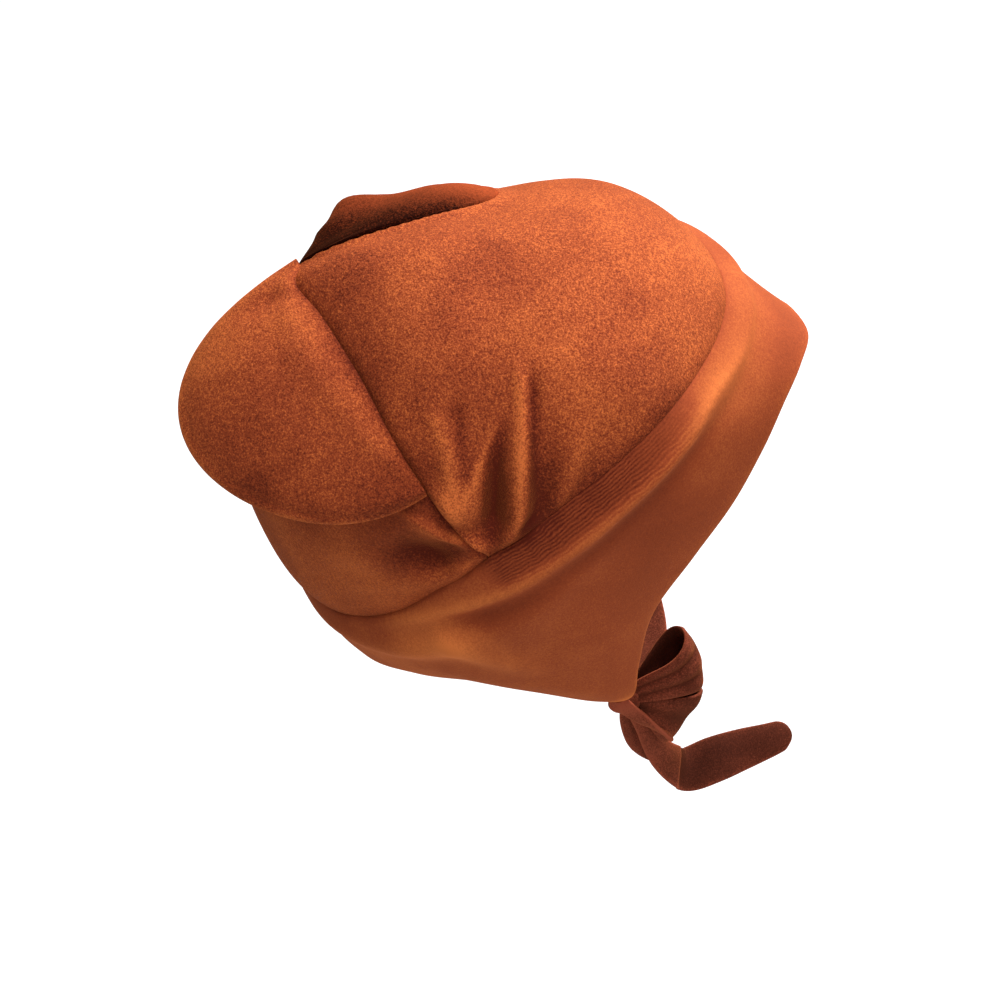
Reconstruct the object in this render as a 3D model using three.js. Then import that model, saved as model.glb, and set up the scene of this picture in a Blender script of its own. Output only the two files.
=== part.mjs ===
// Soft velour hat with two large rounded animal ears, a wide brim band with ear flaps, and ties in a bow.
// Millimetres. +Z up, -Y to the front, x = 0 the middle plane, z = 0 at brow level where the hat sits.
// It keeps the form that it has when worn: the near ear is swept back and the far ear lies on the crown.
import * as THREE from "three";

// Cloth
const CLOTH = 2.6; // wall of the crown and band, two layers of pile
const STRAP = 2.4; // thickness of the ties
const GAP = 0.35; // clearance between two sewn pieces
const SEAM_PUFF = 2.4; // height by which the cloth swells beside a seam
const PUFF_REACH = 5; // distance from the seam over which it swells
const FOLD_FREE = 6; // distance from a seam at which a fold has its full height
const SEAM_SHARE = 0.6; // how far a panel's rows are drawn together beside its seams
const LINE_STEPS = 24; // steps by which a line across a panel is measured

// Where the crown, back and band seams meet beside each temple, and the line that walls face
const JUNCTION = { x: 85, y: 25, z: 30 };
const CORE = { y: 15, z: 30 };
const CROWN_ROUNDNESS = 1.8; // exponent of the crown's cross-section, 2 for an ellipse

const COLOUR = { crown: 0xb4531f, ear: 0xb85822, back: 0xa64a1e, band: 0xb0521f, tie: 0x8f3d1d };

// The near side is drawn together at its junction, and the far side reaches this much further each way.
const LONGER_FAR_SIDE = 5;

// A table's rows as objects with the named columns.
function table(names, rows) {
  const columns = names.split(" ");
  return rows.map((row) =>
    Object.fromEntries(columns.map((name, i) => [name, row[i]])),
  );
}

// Brim band by station, from the middle of the forehead round one side to the middle of the nape.
// Its seam to the crown, its hem, how far it swells between them, and how far it rolls below the seam.
const BAND = table("seamX seamY seamZ hemX hemY hemZ swell roll", [
  [0, -77, 70, 0, -105, 42, -3, 3],
  [20, -73, 69, 16.5, -99.5, 41, -2, 3],
  [40, -63, 68, 30, -91, 35.5, 0, 3],
  [60, -48, 66, 42, -81, 24.5, 1.5, 3],
  [74, -28, 59, 52, -67, 7.5, 3, 3.5],
  [81, -6, 48, 58.5, -49.2, -13.5, 5, 4],
  [84.5, 12, 37, 60.5, -30, -41.5, 7, 4],
  [85, 25, 30, 59, -20, -75, 9, 4],
  [84, 38, 19, 55, -14, -102, 10, 3.5],
  [80, 50, 9, 59, -1, -97, 10, 3],
  [73, 66, -7, 63, 20, -81, 9, 3],
  [62, 84, -21, 62, 43, -70, 7, 2.5],
  [47, 101, -31, 54, 70.5, -69.5, 4, 2],
  [26, 114, -36, 36, 94, -75.5, 1.5, 1.5],
  [0, 121, -36, 0, 113, -84, 0, 1],
]);
const JUNCTION_STATION = 7;

// Seam that holds the ears, from the junction up to the middle of the crown.
const EAR_SEAM = table("x y z", [
  [85, 25, 30],
  [83, 35, 45],
  [77, 43, 60],
  [64, 52, 75],
  [43, 62, 90],
  [20, 74, 101],
  [0, 85, 108],
]);

// Middle profile of the crown and back: angle up from the front about the junctions, distance from them.
const CROWN_PROFILE = table("angle reach", [
  [23, 111],
  [42, 103],
  [60, 90.5],
  [78, 83],
  [96, 84.5],
  [112, 90],
  [128, 97],
]);
const BACK_PROFILE = table("angle reach", [
  [128, 97],
  [145, 98],
  [162, 100],
  [180, 103.5],
  [197, 109],
  [213, 117],
]);

// Main folds, each from its full end to where it dies out: ridges stand up, hollows are negative.
const FOLDS = table("x1 y1 z1 x2 y2 z2 width height", [
  [-84, 10, 42, -68, 3, 88, 4.5, 5],
  [-83, 1, 46, -69, -7, 86, 5, -3.5],
  [-84, 19, 48, -75, 12, 80, 5, -4],
  [-80, 31, 57, -67, 29, 86, 6, 3.5],
  [-84, 46, 28, -79, 61, 42, 8, -5],
  [-85, 29, 35, -80, 45, 54, 4, 2.5],
  [-85, 50, -14, -80, 14, -52, 8, 3],
]);

// The near ear, swept back: the stretch of seam it is sewn in, the way its face looks and its form.
const NEAR_EAR = {
  from: 0.185,
  to: 0.51,
  facing: { x: -0.425, y: -0.058, z: 0.903 },
  reach: 67,
  widen: 0.05,
  skew: 0.2,
  thick: 6,
  edge: 2,
  droop: 9,
  belly: 5.4,
  root: 2.2,
};
// The far ear, folded forward on to the crown: its stretch of seam, and how far it lies over the crown.
const FAR_EAR = {
  from: 0.515,
  to: 0.86,
  skew: -0.4,
  reach: 0.46,
  clear: 1.8,
  roll: 5,
  rollAt: 0.1,
  rollWidth: 0.16,
  thick: 4,
  edge: 2,
};

// Ties. Each row: a point of the middle line, the direction across the strap and half its width.
const TIE_RIGHT = table("x y z wx wy wz half", [
  [-57.6, -8.9, -102.9, -0.29, 0.85, 0.43, 4.4],
  [-57.8, -8.5, -104, -0.29, 0.85, 0.43, 4.2],
  [-57.9, -11.2, -107.8, -0.1, 0.9, 0.4, 3.9],
  [-57.6, -14.5, -113.5, 0, 0.85, 0.5, 3.7],
  [-57.4, -21, -123, 0.1, 0.7, 0.7, 3.4],
  [-56.6, -29, -136, 0.2, 0.55, 0.8, 3],
]);
const TIE_LEFT = table("x y z wx wy wz half", [
  [58, -8.3, -103.3, 0.27, 0.87, 0.4, 5],
  [58.3, -7.5, -105.6, 0.25, 0.87, 0.41, 6],
  [55, -11, -115, 0, 1, 0.2, 7.5],
  [46, -16, -127, 0, 1, 0, 8],
  [29, -20, -137, 0, 1, 0, 8],
  [9, -23, -141, 0, 1, 0, 8],
  [-11, -21, -138, 0, 1, 0, 7.5],
  [-28, -17, -128, 0, 1, 0, 6],
  [-41.5, -13, -114, 0, 1, 0.1, 4],
]);
const TAIL_FRONT = table("x y z wx wy wz half", [
  [-50, -13.6, -119.9, -0.3, 0.9, 0.3, 3],
  [-50.3, -17.5, -133, -0.4, 0.85, 0.1, 4.5],
  [-49.5, -20.5, -150, -0.5, 0.8, -0.2, 6],
  [-47.2, -25.5, -166, -0.75, 0.4, -0.5, 8.5],
  [-45.5, -32, -175.5, -0.85, 0.1, -0.5, 10],
  [-41.5, -45, -176, -0.85, 0, -0.52, 10.5],
  [-37, -58, -177, -0.85, 0, -0.52, 9.5],
  [-34, -70, -177, -0.85, 0, -0.52, 8],
  [-32, -77, -177, -0.85, 0, -0.52, 6.5],
  [-32, -81, -177, -0.85, 0, -0.52, 3],
]);
const TAIL_BACK = table("x y z wx wy wz half", [
  [-46, -11.5, -119.5, -0.3, 0.9, 0.3, 3.2],
  [-46, -11.5, -133, -0.3, 0.95, 0, 5],
  [-45.3, -12.8, -147, -0.3, 0.95, 0, 5.5],
  [-44, -16, -157, -0.3, 0.95, -0.3, 5.5],
  [-43, -20, -165, -0.3, 0.9, -0.4, 4.5],
  [-43, -22, -168, -0.3, 0.9, -0.4, 2.5],
]);

// The knot, and the bow's two loops fanned forward from it.
const KNOT = { x: -48, y: -12.9, z: -112.6, length: 10.4, width: 10, height: 13, squareness: 0.6 };
// Each loop's two corners at its far edge, the two where it is gathered, and how it opens and leans.
const LOOPS = {
  bow_loop_upper: {
    farLow: [-45, -43.5, -115],
    farHigh: [-34.5, -40, -91],
    nearLow: [-49, -18.9, -113.2],
    nearHigh: [-45.5, -18.9, -107],
    open: 7,
    lean: 3,
    pleats: 2.5,
    pleat: 1.2,
  },
  bow_loop_lower: {
    farLow: [-48.5, -28, -144],
    farHigh: [-41, -43.5, -122],
    nearLow: [-50.5, -18.9, -118.4],
    nearHigh: [-48, -18.9, -113.9],
    open: 3.5,
    lean: 0,
    pleats: 1.5,
    pleat: 0.8,
  },
};
const LOOP_CLOTH = 1.8; // wall of a bow loop
const LOOP_START = 0.004; // share of the turn hidden in the knot at each end

const point = (x, y, z) => new THREE.Vector3(x, y, z);
const mix = THREE.MathUtils.lerp;
const clamp = THREE.MathUtils.clamp;

function smoothCurve(points, closed = false) {
  return new THREE.CatmullRomCurve3(points, closed, "catmullrom", 0.5);
}

// One side's rows and their mirror image, right side (x < 0) first.
function bothSides(points) {
  const right = points.map((p) => point(-p.x, p.y, p.z));
  const left = points.slice(1, -1).reverse();
  return right.concat(left);
}

const seamLoop = smoothCurve(bothSides(BAND.map((r) => point(r.seamX, r.seamY, r.seamZ))), true);
const hemLoop = smoothCurve(bothSides(BAND.map((r) => point(r.hemX, r.hemY, r.hemZ))), true);
const swellLoop = smoothCurve(
  bothSides(BAND.map((r) => point(0, r.swell, r.roll))),
  true,
);
const junctionAt = JUNCTION_STATION / (2 * (BAND.length - 1));

const wrap = (t) => ((t % 1) + 1) % 1;
// The band's seam from the right junction to the left one, round the front and round the back.
const frontSeam = (u) => seamLoop.getPoint(wrap(junctionAt * (1 - 2 * u)));
const backSeam = (u) => seamLoop.getPoint(wrap(junctionAt + (1 - 2 * junctionAt) * u));

const earRows = EAR_SEAM.map((r) => point(-r.x, r.y, r.z));
const earCurve = smoothCurve(
  earRows.concat(EAR_SEAM.slice(0, -1).reverse().map((r) => point(r.x, r.y, r.z))),
);
const earSeam = (u) => earCurve.getPoint(clamp(u, 0, 1));

// The direction from a point of the cloth towards the head.
function inward(p) {
  const centre = point(0, CORE.y, Math.min(p.z, CORE.z));
  return centre.sub(p).normalize();
}

// A point of the middle profile spread sideways as a superelliptic arc between the junctions.
function archPoint(u, angleDeg, reach) {
  const angle = THREE.MathUtils.degToRad(angleDeg);
  const c = Math.cos(Math.PI * u);
  const s = Math.sin(Math.PI * u);
  const power = 2 / CROWN_ROUNDNESS;
  const spread = reach * Math.abs(s) ** power;
  return point(
    -JUNCTION.x * Math.sign(c) * Math.abs(c) ** power,
    JUNCTION.y - spread * Math.cos(angle),
    JUNCTION.z + spread * Math.sin(angle),
  );
}

// A crown panel: arches over the profile, drawn to one seam at v = 0 and to the other at v = 1.
function domePanel(profile, lowSeam, highSeam) {
  const curve = smoothCurve(profile.map((r) => point(r.angle, r.reach, 0)));
  const first = profile[0];
  const last = profile[profile.length - 1];
  return (u, v) => {
    const row = curve.getPoint(clamp(v, 0, 1));
    const toLow = lowSeam(u).sub(archPoint(u, first.angle, first.reach));
    const toHigh = highSeam(u).sub(archPoint(u, last.angle, last.reach));
    return archPoint(u, row.x, row.y)
      .addScaledVector(toLow, (1 - v) ** 2)
      .addScaledVector(toHigh, v ** 2);
  };
}

// Height of all the folds at a point.
function foldHeight(p) {
  let height = 0;
  for (const f of FOLDS) {
    const from = point(f.x1, f.y1, f.z1);
    const along = point(f.x2, f.y2, f.z2).sub(from);
    const t = clamp(p.clone().sub(from).dot(along) / along.lengthSq(), 0, 1);
    const off = p.distanceTo(from.addScaledVector(along, t)) / f.width;
    height += f.height * Math.exp(-off * off) * (1 - t * t);
  }
  return height;
}

// A closed solid from a grid of outer points and their inner partners.
function shellGeometry(outer, inner, closedAround) {
  const rows = outer.length;
  const columns = outer[0].length;
  const positions = [];
  for (const layer of [outer, inner])
    for (const row of layer) for (const p of row) positions.push(p.x, p.y, p.z);
  const at = (layer, j, i) => layer * rows * columns + j * columns + (i % columns);
  const faces = [];
  const quad = (a, b, c, d) => faces.push(a, b, c, a, c, d);
  const steps = closedAround ? columns : columns - 1;
  for (let j = 0; j < rows - 1; j += 1)
    for (let i = 0; i < steps; i += 1) {
      quad(at(0, j, i), at(0, j, i + 1), at(0, j + 1, i + 1), at(0, j + 1, i));
      quad(at(1, j, i), at(1, j + 1, i), at(1, j + 1, i + 1), at(1, j, i + 1));
    }
  for (let i = 0; i < steps; i += 1) {
    quad(at(0, 0, i), at(1, 0, i), at(1, 0, i + 1), at(0, 0, i + 1));
    quad(at(0, rows - 1, i), at(0, rows - 1, i + 1), at(1, rows - 1, i + 1), at(1, rows - 1, i));
  }
  if (!closedAround)
    for (let j = 0; j < rows - 1; j += 1) {
      quad(at(0, j, 0), at(0, j + 1, 0), at(1, j + 1, 0), at(1, j, 0));
      const e = columns - 1;
      quad(at(0, j, e), at(1, j, e), at(1, j + 1, e), at(0, j + 1, e));
    }
  const geometry = new THREE.BufferGeometry();
  geometry.setAttribute("position", new THREE.Float32BufferAttribute(positions, 3));
  geometry.setIndex(faces);
  return faceOut(geometry);
}

// Turns the faces round where the solid came out inside out.
function faceOut(geometry) {
  const p = geometry.getAttribute("position");
  const index = geometry.getIndex();
  const [a, b, c] = [point(0, 0, 0), point(0, 0, 0), point(0, 0, 0)];
  let volume = 0;
  for (let i = 0; i < index.count; i += 3) {
    a.fromBufferAttribute(p, index.getX(i));
    b.fromBufferAttribute(p, index.getX(i + 1));
    c.fromBufferAttribute(p, index.getX(i + 2));
    volume += a.dot(b.cross(c));
  }
  if (volume < 0)
    for (let i = 0; i < index.count; i += 3) {
      const swap = index.getX(i + 1);
      index.setX(i + 1, index.getX(i + 2));
      index.setX(i + 2, swap);
    }
  geometry.computeVertexNormals();
  return geometry;
}

// How far the cloth stands up near an edge that lies at a given distance.
const puff = (distance) => SEAM_PUFF * (1 - Math.exp(-distance / PUFF_REACH));

// A sewn panel: trimmed by half a gap at each seam, swelling beside the seams, and taking the folds.
function sewnPanel(surface, { across, along, from, to, closed = false, seams = [true, true] }) {
  const outer = [];
  const inner = [];
  for (let j = 0; j <= along; j += 1) {
    outer.push([]);
    inner.push([]);
  }
  const columns = closed ? across : across + 1;
  for (let i = 0; i < columns; i += 1) {
    const u = from + ((to - from) * i) / across;
    const line = [];
    for (let k = 0; k <= LINE_STEPS; k += 1) line.push(surface(u, k / LINE_STEPS));
    let length = 0;
    for (let k = 0; k < LINE_STEPS; k += 1) length += line[k].distanceTo(line[k + 1]);
    const trim = GAP / 2 / length;
    for (let j = 0; j <= along; j += 1) {
      const s = j / along;
      const eased = seams[0] && seams[1] ? 0.5 - 0.5 * Math.cos(Math.PI * s) : 1 - (1 - s) ** 1.4;
      const v = mix(seams[0] ? trim : 0, seams[1] ? 1 - trim : 1, mix(s, eased, SEAM_SHARE));
      const base = surface(u, v);
      const towards = inward(base);
      const near = Math.min(
        seams[0] ? v * length : Infinity,
        seams[1] ? (1 - v) * length : Infinity,
      );
      const stand = puff(near) + foldHeight(base) * Math.min(1, near / FOLD_FREE);
      outer[j].push(base.clone().addScaledVector(towards, -stand));
      inner[j].push(outer[j][i].clone().addScaledVector(towards, CLOTH));
    }
  }
  return shellGeometry(outer, inner, closed);
}

const crownSurface = domePanel(CROWN_PROFILE, frontSeam, earSeam);
const backSurface = domePanel(BACK_PROFILE, earSeam, backSeam);

// The band between its seam and its hem: a roll just below the seam, then the swell.
function bandSurface(t, v) {
  const at = wrap(t);
  const top = seamLoop.getPoint(at);
  const low = hemLoop.getPoint(at);
  const form = swellLoop.getPoint(at);
  const p = top.lerp(low, v);
  const out = point(p.x, p.y - CORE.y, 0).normalize();
  const roll = form.z * Math.exp(-(((v - 0.24) / 0.13) ** 2));
  return p.addScaledVector(out, form.y * Math.sin(Math.PI * v) ** 0.8 + roll);
}

function crownFront() {
  return sewnPanel(crownSurface, { across: 30, along: 24, from: 0.007, to: 0.993 });
}

function crownBack() {
  return sewnPanel(backSurface, { across: 30, along: 12, from: 0.009, to: 0.991 });
}

function brimBand() {
  return sewnPanel(bandSurface, {
    across: 68,
    along: 8,
    from: 0,
    to: 1,
    closed: true,
    seams: [true, false],
  });
}

// An ear's outline: a rounded lobe over its seam, as shares of its seam's chord and of its reach.
function lobe(s, widen, skew) {
  const angle = Math.PI * s;
  return {
    along: 0.5 - (0.5 + widen) * Math.cos(angle),
    out: Math.sin(angle) ** 0.85 * (1 - skew * Math.cos(angle)),
  };
}

// Thickness of a padded ear: soft in the middle, thin at its root and along its sewn edge.
function padding(s, k, thick, edge) {
  const side = Math.sin(Math.PI * clamp(s, 0.02, 0.98)) ** 0.5;
  const depth = 1 - Math.max(0, (k - 0.55) / 0.45) ** 2;
  const root = clamp(0.35 + k * 3, 0, 1);
  return mix(edge, thick, side * depth * root);
}

function nearEar() {
  const ear = NEAR_EAR;
  const facing = point(ear.facing.x, ear.facing.y, ear.facing.z).normalize();
  const low = earSeam(ear.from);
  const chord = earSeam(ear.to).sub(low);
  const back = facing.clone().cross(chord).normalize();
  const outer = [];
  const inner = [];
  const [across, along] = [18, 11];
  for (let j = 0; j <= along; j += 1) {
    outer.push([]);
    inner.push([]);
    const k = j / along;
    for (let i = 0; i <= across; i += 1) {
      const s = i / across;
      const form = lobe(s, ear.widen, ear.skew);
      const root = earSeam(mix(ear.from, ear.to, s)).addScaledVector(facing, ear.root);
      const rim = low
        .clone()
        .addScaledVector(chord, form.along)
        .addScaledVector(back, ear.reach * form.out)
        .addScaledVector(facing, ear.root - ear.droop * form.out);
      const belly = ear.belly * Math.sin(Math.PI * k) * form.out;
      const p = root.lerp(rim, k).addScaledVector(facing, belly);
      const half = padding(s, k, ear.thick, ear.edge) / 2;
      outer[j].push(p.clone().addScaledVector(facing, half));
      inner[j].push(p.clone().addScaledVector(facing, -half));
    }
  }
  return shellGeometry(outer, inner, false);
}

function farEar() {
  const ear = FAR_EAR;
  const outer = [];
  const inner = [];
  const [across, along] = [16, 9];
  for (let j = 0; j <= along; j += 1) {
    outer.push([]);
    inner.push([]);
    const k = j / along;
    for (let i = 0; i <= across; i += 1) {
      const s = i / across;
      const form = lobe(s, 0, ear.skew);
      const u = mix(ear.from, ear.to, s);
      const base = crownSurface(u, 1 - 0.01 - ear.reach * form.out * k);
      const out = inward(base).negate();
      const roll = ear.roll * form.out * Math.exp(-(((k - ear.rollAt) / ear.rollWidth) ** 2));
      const bed = puff(base.distanceTo(earSeam(u))) + ear.clear + roll;
      inner[j].push(base.clone().addScaledVector(out, bed));
      outer[j].push(base.clone().addScaledVector(out, bed + padding(s, k, ear.thick, ear.edge)));
    }
  }
  return shellGeometry(outer, inner, false);
}

// A solid through closed rings of points, with a flat fan over each end.
function ringSolid(rings) {
  const sides = rings[0].length;
  const positions = [];
  for (const ring of rings) for (const p of ring) positions.push(p.x, p.y, p.z);
  const faces = [];
  for (let j = 0; j < rings.length - 1; j += 1)
    for (let i = 0; i < sides; i += 1) {
      const [a, b] = [j * sides + i, j * sides + ((i + 1) % sides)];
      faces.push(a, b, b + sides, a, b + sides, a + sides);
    }
  const last = (rings.length - 1) * sides;
  for (let i = 1; i < sides - 1; i += 1) faces.push(0, i + 1, i, last, last + i, last + i + 1);
  const geometry = new THREE.BufferGeometry();
  geometry.setAttribute("position", new THREE.Float32BufferAttribute(positions, 3));
  geometry.setIndex(faces);
  return faceOut(geometry);
}

// A flat strap with rounded edges along its rows.
function strap(rows, segments) {
  const middle = smoothCurve(rows.map((r) => point(r.x, r.y, r.z)));
  const acrossCurve = smoothCurve(rows.map((r) => point(r.wx, r.wy, r.wz)));
  const halfCurve = smoothCurve(rows.map((r) => point(r.half, 0, 0)));
  const section = [
    [1, 0.2],
    [0.86, 0.5],
    [-0.86, 0.5],
    [-1, 0.2],
    [-1, -0.2],
    [-0.86, -0.5],
    [0.86, -0.5],
    [1, -0.2],
  ];
  const rings = [];
  for (let i = 0; i <= segments; i += 1) {
    const t = i / segments;
    const centre = middle.getPoint(t);
    const ahead = middle.getPoint(Math.min(1, t + 0.01)).sub(middle.getPoint(Math.max(0, t - 0.01)));
    ahead.normalize();
    const across = acrossCurve.getPoint(t);
    across.addScaledVector(ahead, -across.dot(ahead)).normalize();
    const flat = ahead.clone().cross(across);
    const half = halfCurve.getPoint(t).x;
    rings.push(
      section.map(([w, h]) =>
        centre.clone().addScaledVector(across, w * half).addScaledVector(flat, h * STRAP),
      ),
    );
  }
  return ringSolid(rings);
}

// A bow loop: the strap goes out from the knot, turns over at its far edge and comes back, pleated.
function bowLoop(loop) {
  const corner = (xyz) => point(xyz[0], xyz[1], xyz[2]);
  const [farLow, farHigh] = [corner(loop.farLow), corner(loop.farHigh)];
  const [nearLow, nearHigh] = [corner(loop.nearLow), corner(loop.nearHigh)];
  const forward = farLow.clone().add(farHigh).sub(nearLow).sub(nearHigh).normalize();
  const across = farHigh.clone().sub(farLow).normalize();
  const face = forward.clone().cross(across).normalize();
  const at = (turn, w) => {
    const near = nearLow.clone().lerp(nearHigh, w);
    const bow = 0.1 * Math.sin(Math.PI * w);
    const far = farLow.clone().lerp(farHigh, w);
    const reach = Math.max(0, Math.sin(Math.PI * turn)) ** 0.75 * (1 + bow);
    const open = Math.sin(2 * Math.PI * turn);
    const gathered = 1.1 * Math.cos(Math.PI * turn);
    const pleat = loop.pleat * Math.sin(2 * Math.PI * loop.pleats * w) * reach;
    return near
      .lerp(far, reach)
      .addScaledVector(face, loop.open * open * (0.45 + 0.55 * w) + gathered + pleat)
      .addScaledVector(across, -loop.lean * open * w);
  };
  const outer = [];
  const inner = [];
  const [steps, rows] = [20, 7];
  for (let j = 0; j <= rows; j += 1) {
    outer.push([]);
    inner.push([]);
    const w = j / rows;
    for (let i = 0; i <= steps; i += 1) {
      const turn = mix(LOOP_START, 1 - LOOP_START, i / steps);
      const p = at(turn, w);
      const round = at(turn + 0.01, w).sub(at(turn - 0.01, w));
      const side = at(turn, Math.min(1, w + 0.01)).sub(at(turn, Math.max(0, w - 0.01)));
      const inside = round.cross(side).normalize();
      outer[j].push(p.clone());
      inner[j].push(p.addScaledVector(inside, LOOP_CLOTH));
    }
  }
  return shellGeometry(outer, inner, false);
}

function knot() {
  const geometry = new THREE.SphereGeometry(1, 16, 10);
  const p = geometry.getAttribute("position");
  const full = (c) => Math.sign(c) * Math.abs(c) ** KNOT.squareness;
  for (let i = 0; i < p.count; i += 1) p.setXYZ(i, full(p.getX(i)), full(p.getY(i)), full(p.getZ(i)));
  geometry.scale(KNOT.width / 2, KNOT.length / 2, KNOT.height / 2);
  geometry.translate(KNOT.x, KNOT.y, KNOT.z);
  return geometry;
}

const hat = new THREE.Group();

// Draws the far side out to the front and back of the junction.
function lengthenFarSide(geometry) {
  const p = geometry.getAttribute("position");
  for (let i = 0; i < p.count; i += 1) {
    const x = Math.max(0, p.getX(i));
    const share = (x * x) / (x * x + 900);
    const reach = clamp((p.getY(i) - JUNCTION.y) / 60, -1, 1);
    p.setY(i, p.getY(i) + LONGER_FAR_SIDE * share * reach);
  }
  return geometry;
}

function addPiece(name, geometry, colour) {
  const material = new THREE.MeshStandardMaterial({ color: colour, roughness: 0.95, metalness: 0 });
  const mesh = new THREE.Mesh(lengthenFarSide(geometry), material);
  mesh.name = name;
  hat.add(mesh);
}

addPiece("crown_front", crownFront(), COLOUR.crown);
addPiece("crown_back", crownBack(), COLOUR.back);
addPiece("brim_band", brimBand(), COLOUR.band);
addPiece("ear_right", nearEar(), COLOUR.ear);
addPiece("ear_left", farEar(), COLOUR.ear);
addPiece("tie_right", strap(TIE_RIGHT, 12), COLOUR.tie);
addPiece("tie_left", strap(TIE_LEFT, 28), COLOUR.tie);
addPiece("bow_knot", knot(), COLOUR.tie);
for (const [name, loop] of Object.entries(LOOPS)) addPiece(name, bowLoop(loop), COLOUR.tie);
addPiece("tail_front", strap(TAIL_FRONT, 30), COLOUR.tie);
addPiece("tail_back", strap(TAIL_BACK, 16), COLOUR.tie);

export default hat;
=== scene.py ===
"""Dresses the velour animal hat: pile cloth, padded ears, folds, ties and bow, with stage and camera."""

import math

import bpy
import numpy as np
from mathutils import Matrix, Vector


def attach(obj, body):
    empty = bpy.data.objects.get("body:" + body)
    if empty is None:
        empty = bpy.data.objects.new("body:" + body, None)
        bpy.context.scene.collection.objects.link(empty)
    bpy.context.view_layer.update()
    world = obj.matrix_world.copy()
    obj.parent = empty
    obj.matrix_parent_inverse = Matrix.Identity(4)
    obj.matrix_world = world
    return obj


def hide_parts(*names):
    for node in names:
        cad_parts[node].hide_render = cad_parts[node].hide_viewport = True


bl_info = {
    "name": "Velour Animal Hat",
    "version": (1, 0, 0),
    "blender": (4, 5, 0),
    "location": "3D View > Sidebar > Hat",
    "description": "Builds a velour hat with rounded animal ears, ear flaps and a tied bow",
    "category": "Object",
}

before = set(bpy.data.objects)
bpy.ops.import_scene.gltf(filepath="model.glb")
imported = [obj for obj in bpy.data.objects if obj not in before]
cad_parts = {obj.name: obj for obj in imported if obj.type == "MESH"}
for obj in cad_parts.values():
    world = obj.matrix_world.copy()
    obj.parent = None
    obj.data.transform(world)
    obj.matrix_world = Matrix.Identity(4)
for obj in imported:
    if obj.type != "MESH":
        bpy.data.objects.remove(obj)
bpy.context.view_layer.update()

MM = 0.001
PI = math.pi

# Sewn cloth, in millimetres: gap at a seam, walls, and how far puffs, folds and marks reach.
GAP = 0.08
STRAP = 2.4
LOOP_CLOTH = 1.8
PUFF_REACH = 5.0
FOLD_FREE = 6.0
SEAM_REACH = 2.5
HEM_REACH = 3.0
CREASE_FREE = 3.0
FAR_OFF = 1e6

# Unevenness of plain cloth: distance to its full height, height and wave in millimetres, seed.
CALM_REACH = 10.0
CALM_RISE = 0.5
CALM_SIZE = 46
CALM_SEED = 3

# How strongly rows draw towards the seams, numbers of steps, and the angle of smooth shading.
SEAM_SHARE = 0.6
LINE_STEPS = 24
RIM_STEPS = 5
SMOOTH_ANGLE = 60

# Form of the worn hat, in millimetres: left junction, middle of the head, and the longer far side.
JUNCTION = np.array([85.0, 25.0, 30.0])
CORE_Y = 15.0
CORE_Z = 30.0
LONGER_FAR_SIDE = 5.0
LONGER_FROM = 30.0
LONGER_REACH = 60.0

# Power of the crown's outline, where 2 is an ellipse.
CROWN_ROUNDNESS = 1.8

# Roll of the band below its seam, as shares of the way down.
ROLL_AT = 0.24
ROLL_WIDTH = 0.13

# Brim band by station, from the middle of the forehead round one side to the middle of the nape.
# Columns: seam x y z, hem x y z, swell between them, roll below the seam.
BAND = [
    (0, -77, 70, 0, -105, 42, -3, 3),
    (20, -73, 69, 16.5, -99.5, 41, -2, 3),
    (40, -63, 68, 30, -91, 35.5, 0, 3),
    (60, -48, 66, 42, -81, 24.5, 1.5, 3),
    (74, -28, 59, 52, -67, 7.5, 3, 3.5),
    (81, -6, 48, 58.5, -49.2, -13.5, 5, 4),
    (84.5, 12, 37, 60.5, -30, -41.5, 7, 4),
    (85, 25, 30, 59, -20, -75, 9, 4),
    (84, 38, 19, 55, -14, -102, 10, 3.5),
    (80, 50, 9, 59, -1, -97, 10, 3),
    (73, 66, -7, 63, 20, -81, 9, 3),
    (62, 84, -21, 62, 43, -70, 7, 2.5),
    (47, 101, -31, 54, 70.5, -69.5, 4, 2),
    (26, 114, -36, 36, 94, -75.5, 1.5, 1.5),
    (0, 121, -36, 0, 113, -84, 0, 1),
]
JUNCTION_STATION = 7

# Seam that holds the ears, from the junction up to the middle of the crown: x y z.
EAR_SEAM = [
    (85, 25, 30),
    (83, 35, 45),
    (77, 43, 60),
    (64, 52, 75),
    (43, 62, 90),
    (20, 74, 101),
    (0, 85, 108),
]

# Middle profiles: angle up from the front about the junctions, distance from them.
CROWN_PROFILE = [(23, 111), (42, 103), (60, 90.5), (78, 83), (96, 84.5), (112, 90), (128, 97)]
BACK_PROFILE = [(128, 97), (145, 98), (162, 100), (180, 103.5), (197, 109), (213, 117)]

# Folds from their full end to where they die out: x y z, x y z, width, height.
FOLDS = [
    (-84, 10, 42, -68, 3, 88, 4.5, 5),
    (-83, 1, 46, -69, -7, 86, 5, -3.5),
    (-84, 19, 48, -75, 12, 80, 5, -4),
    (-80, 31, 57, -67, 29, 86, 6, 3.5),
    (-84, 46, 28, -79, 61, 42, 8, -5),
    (-85, 29, 35, -80, 45, 54, 4, 2.5),
    (-85, 50, -14, -80, 14, -52, 8, 3),
]

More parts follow.
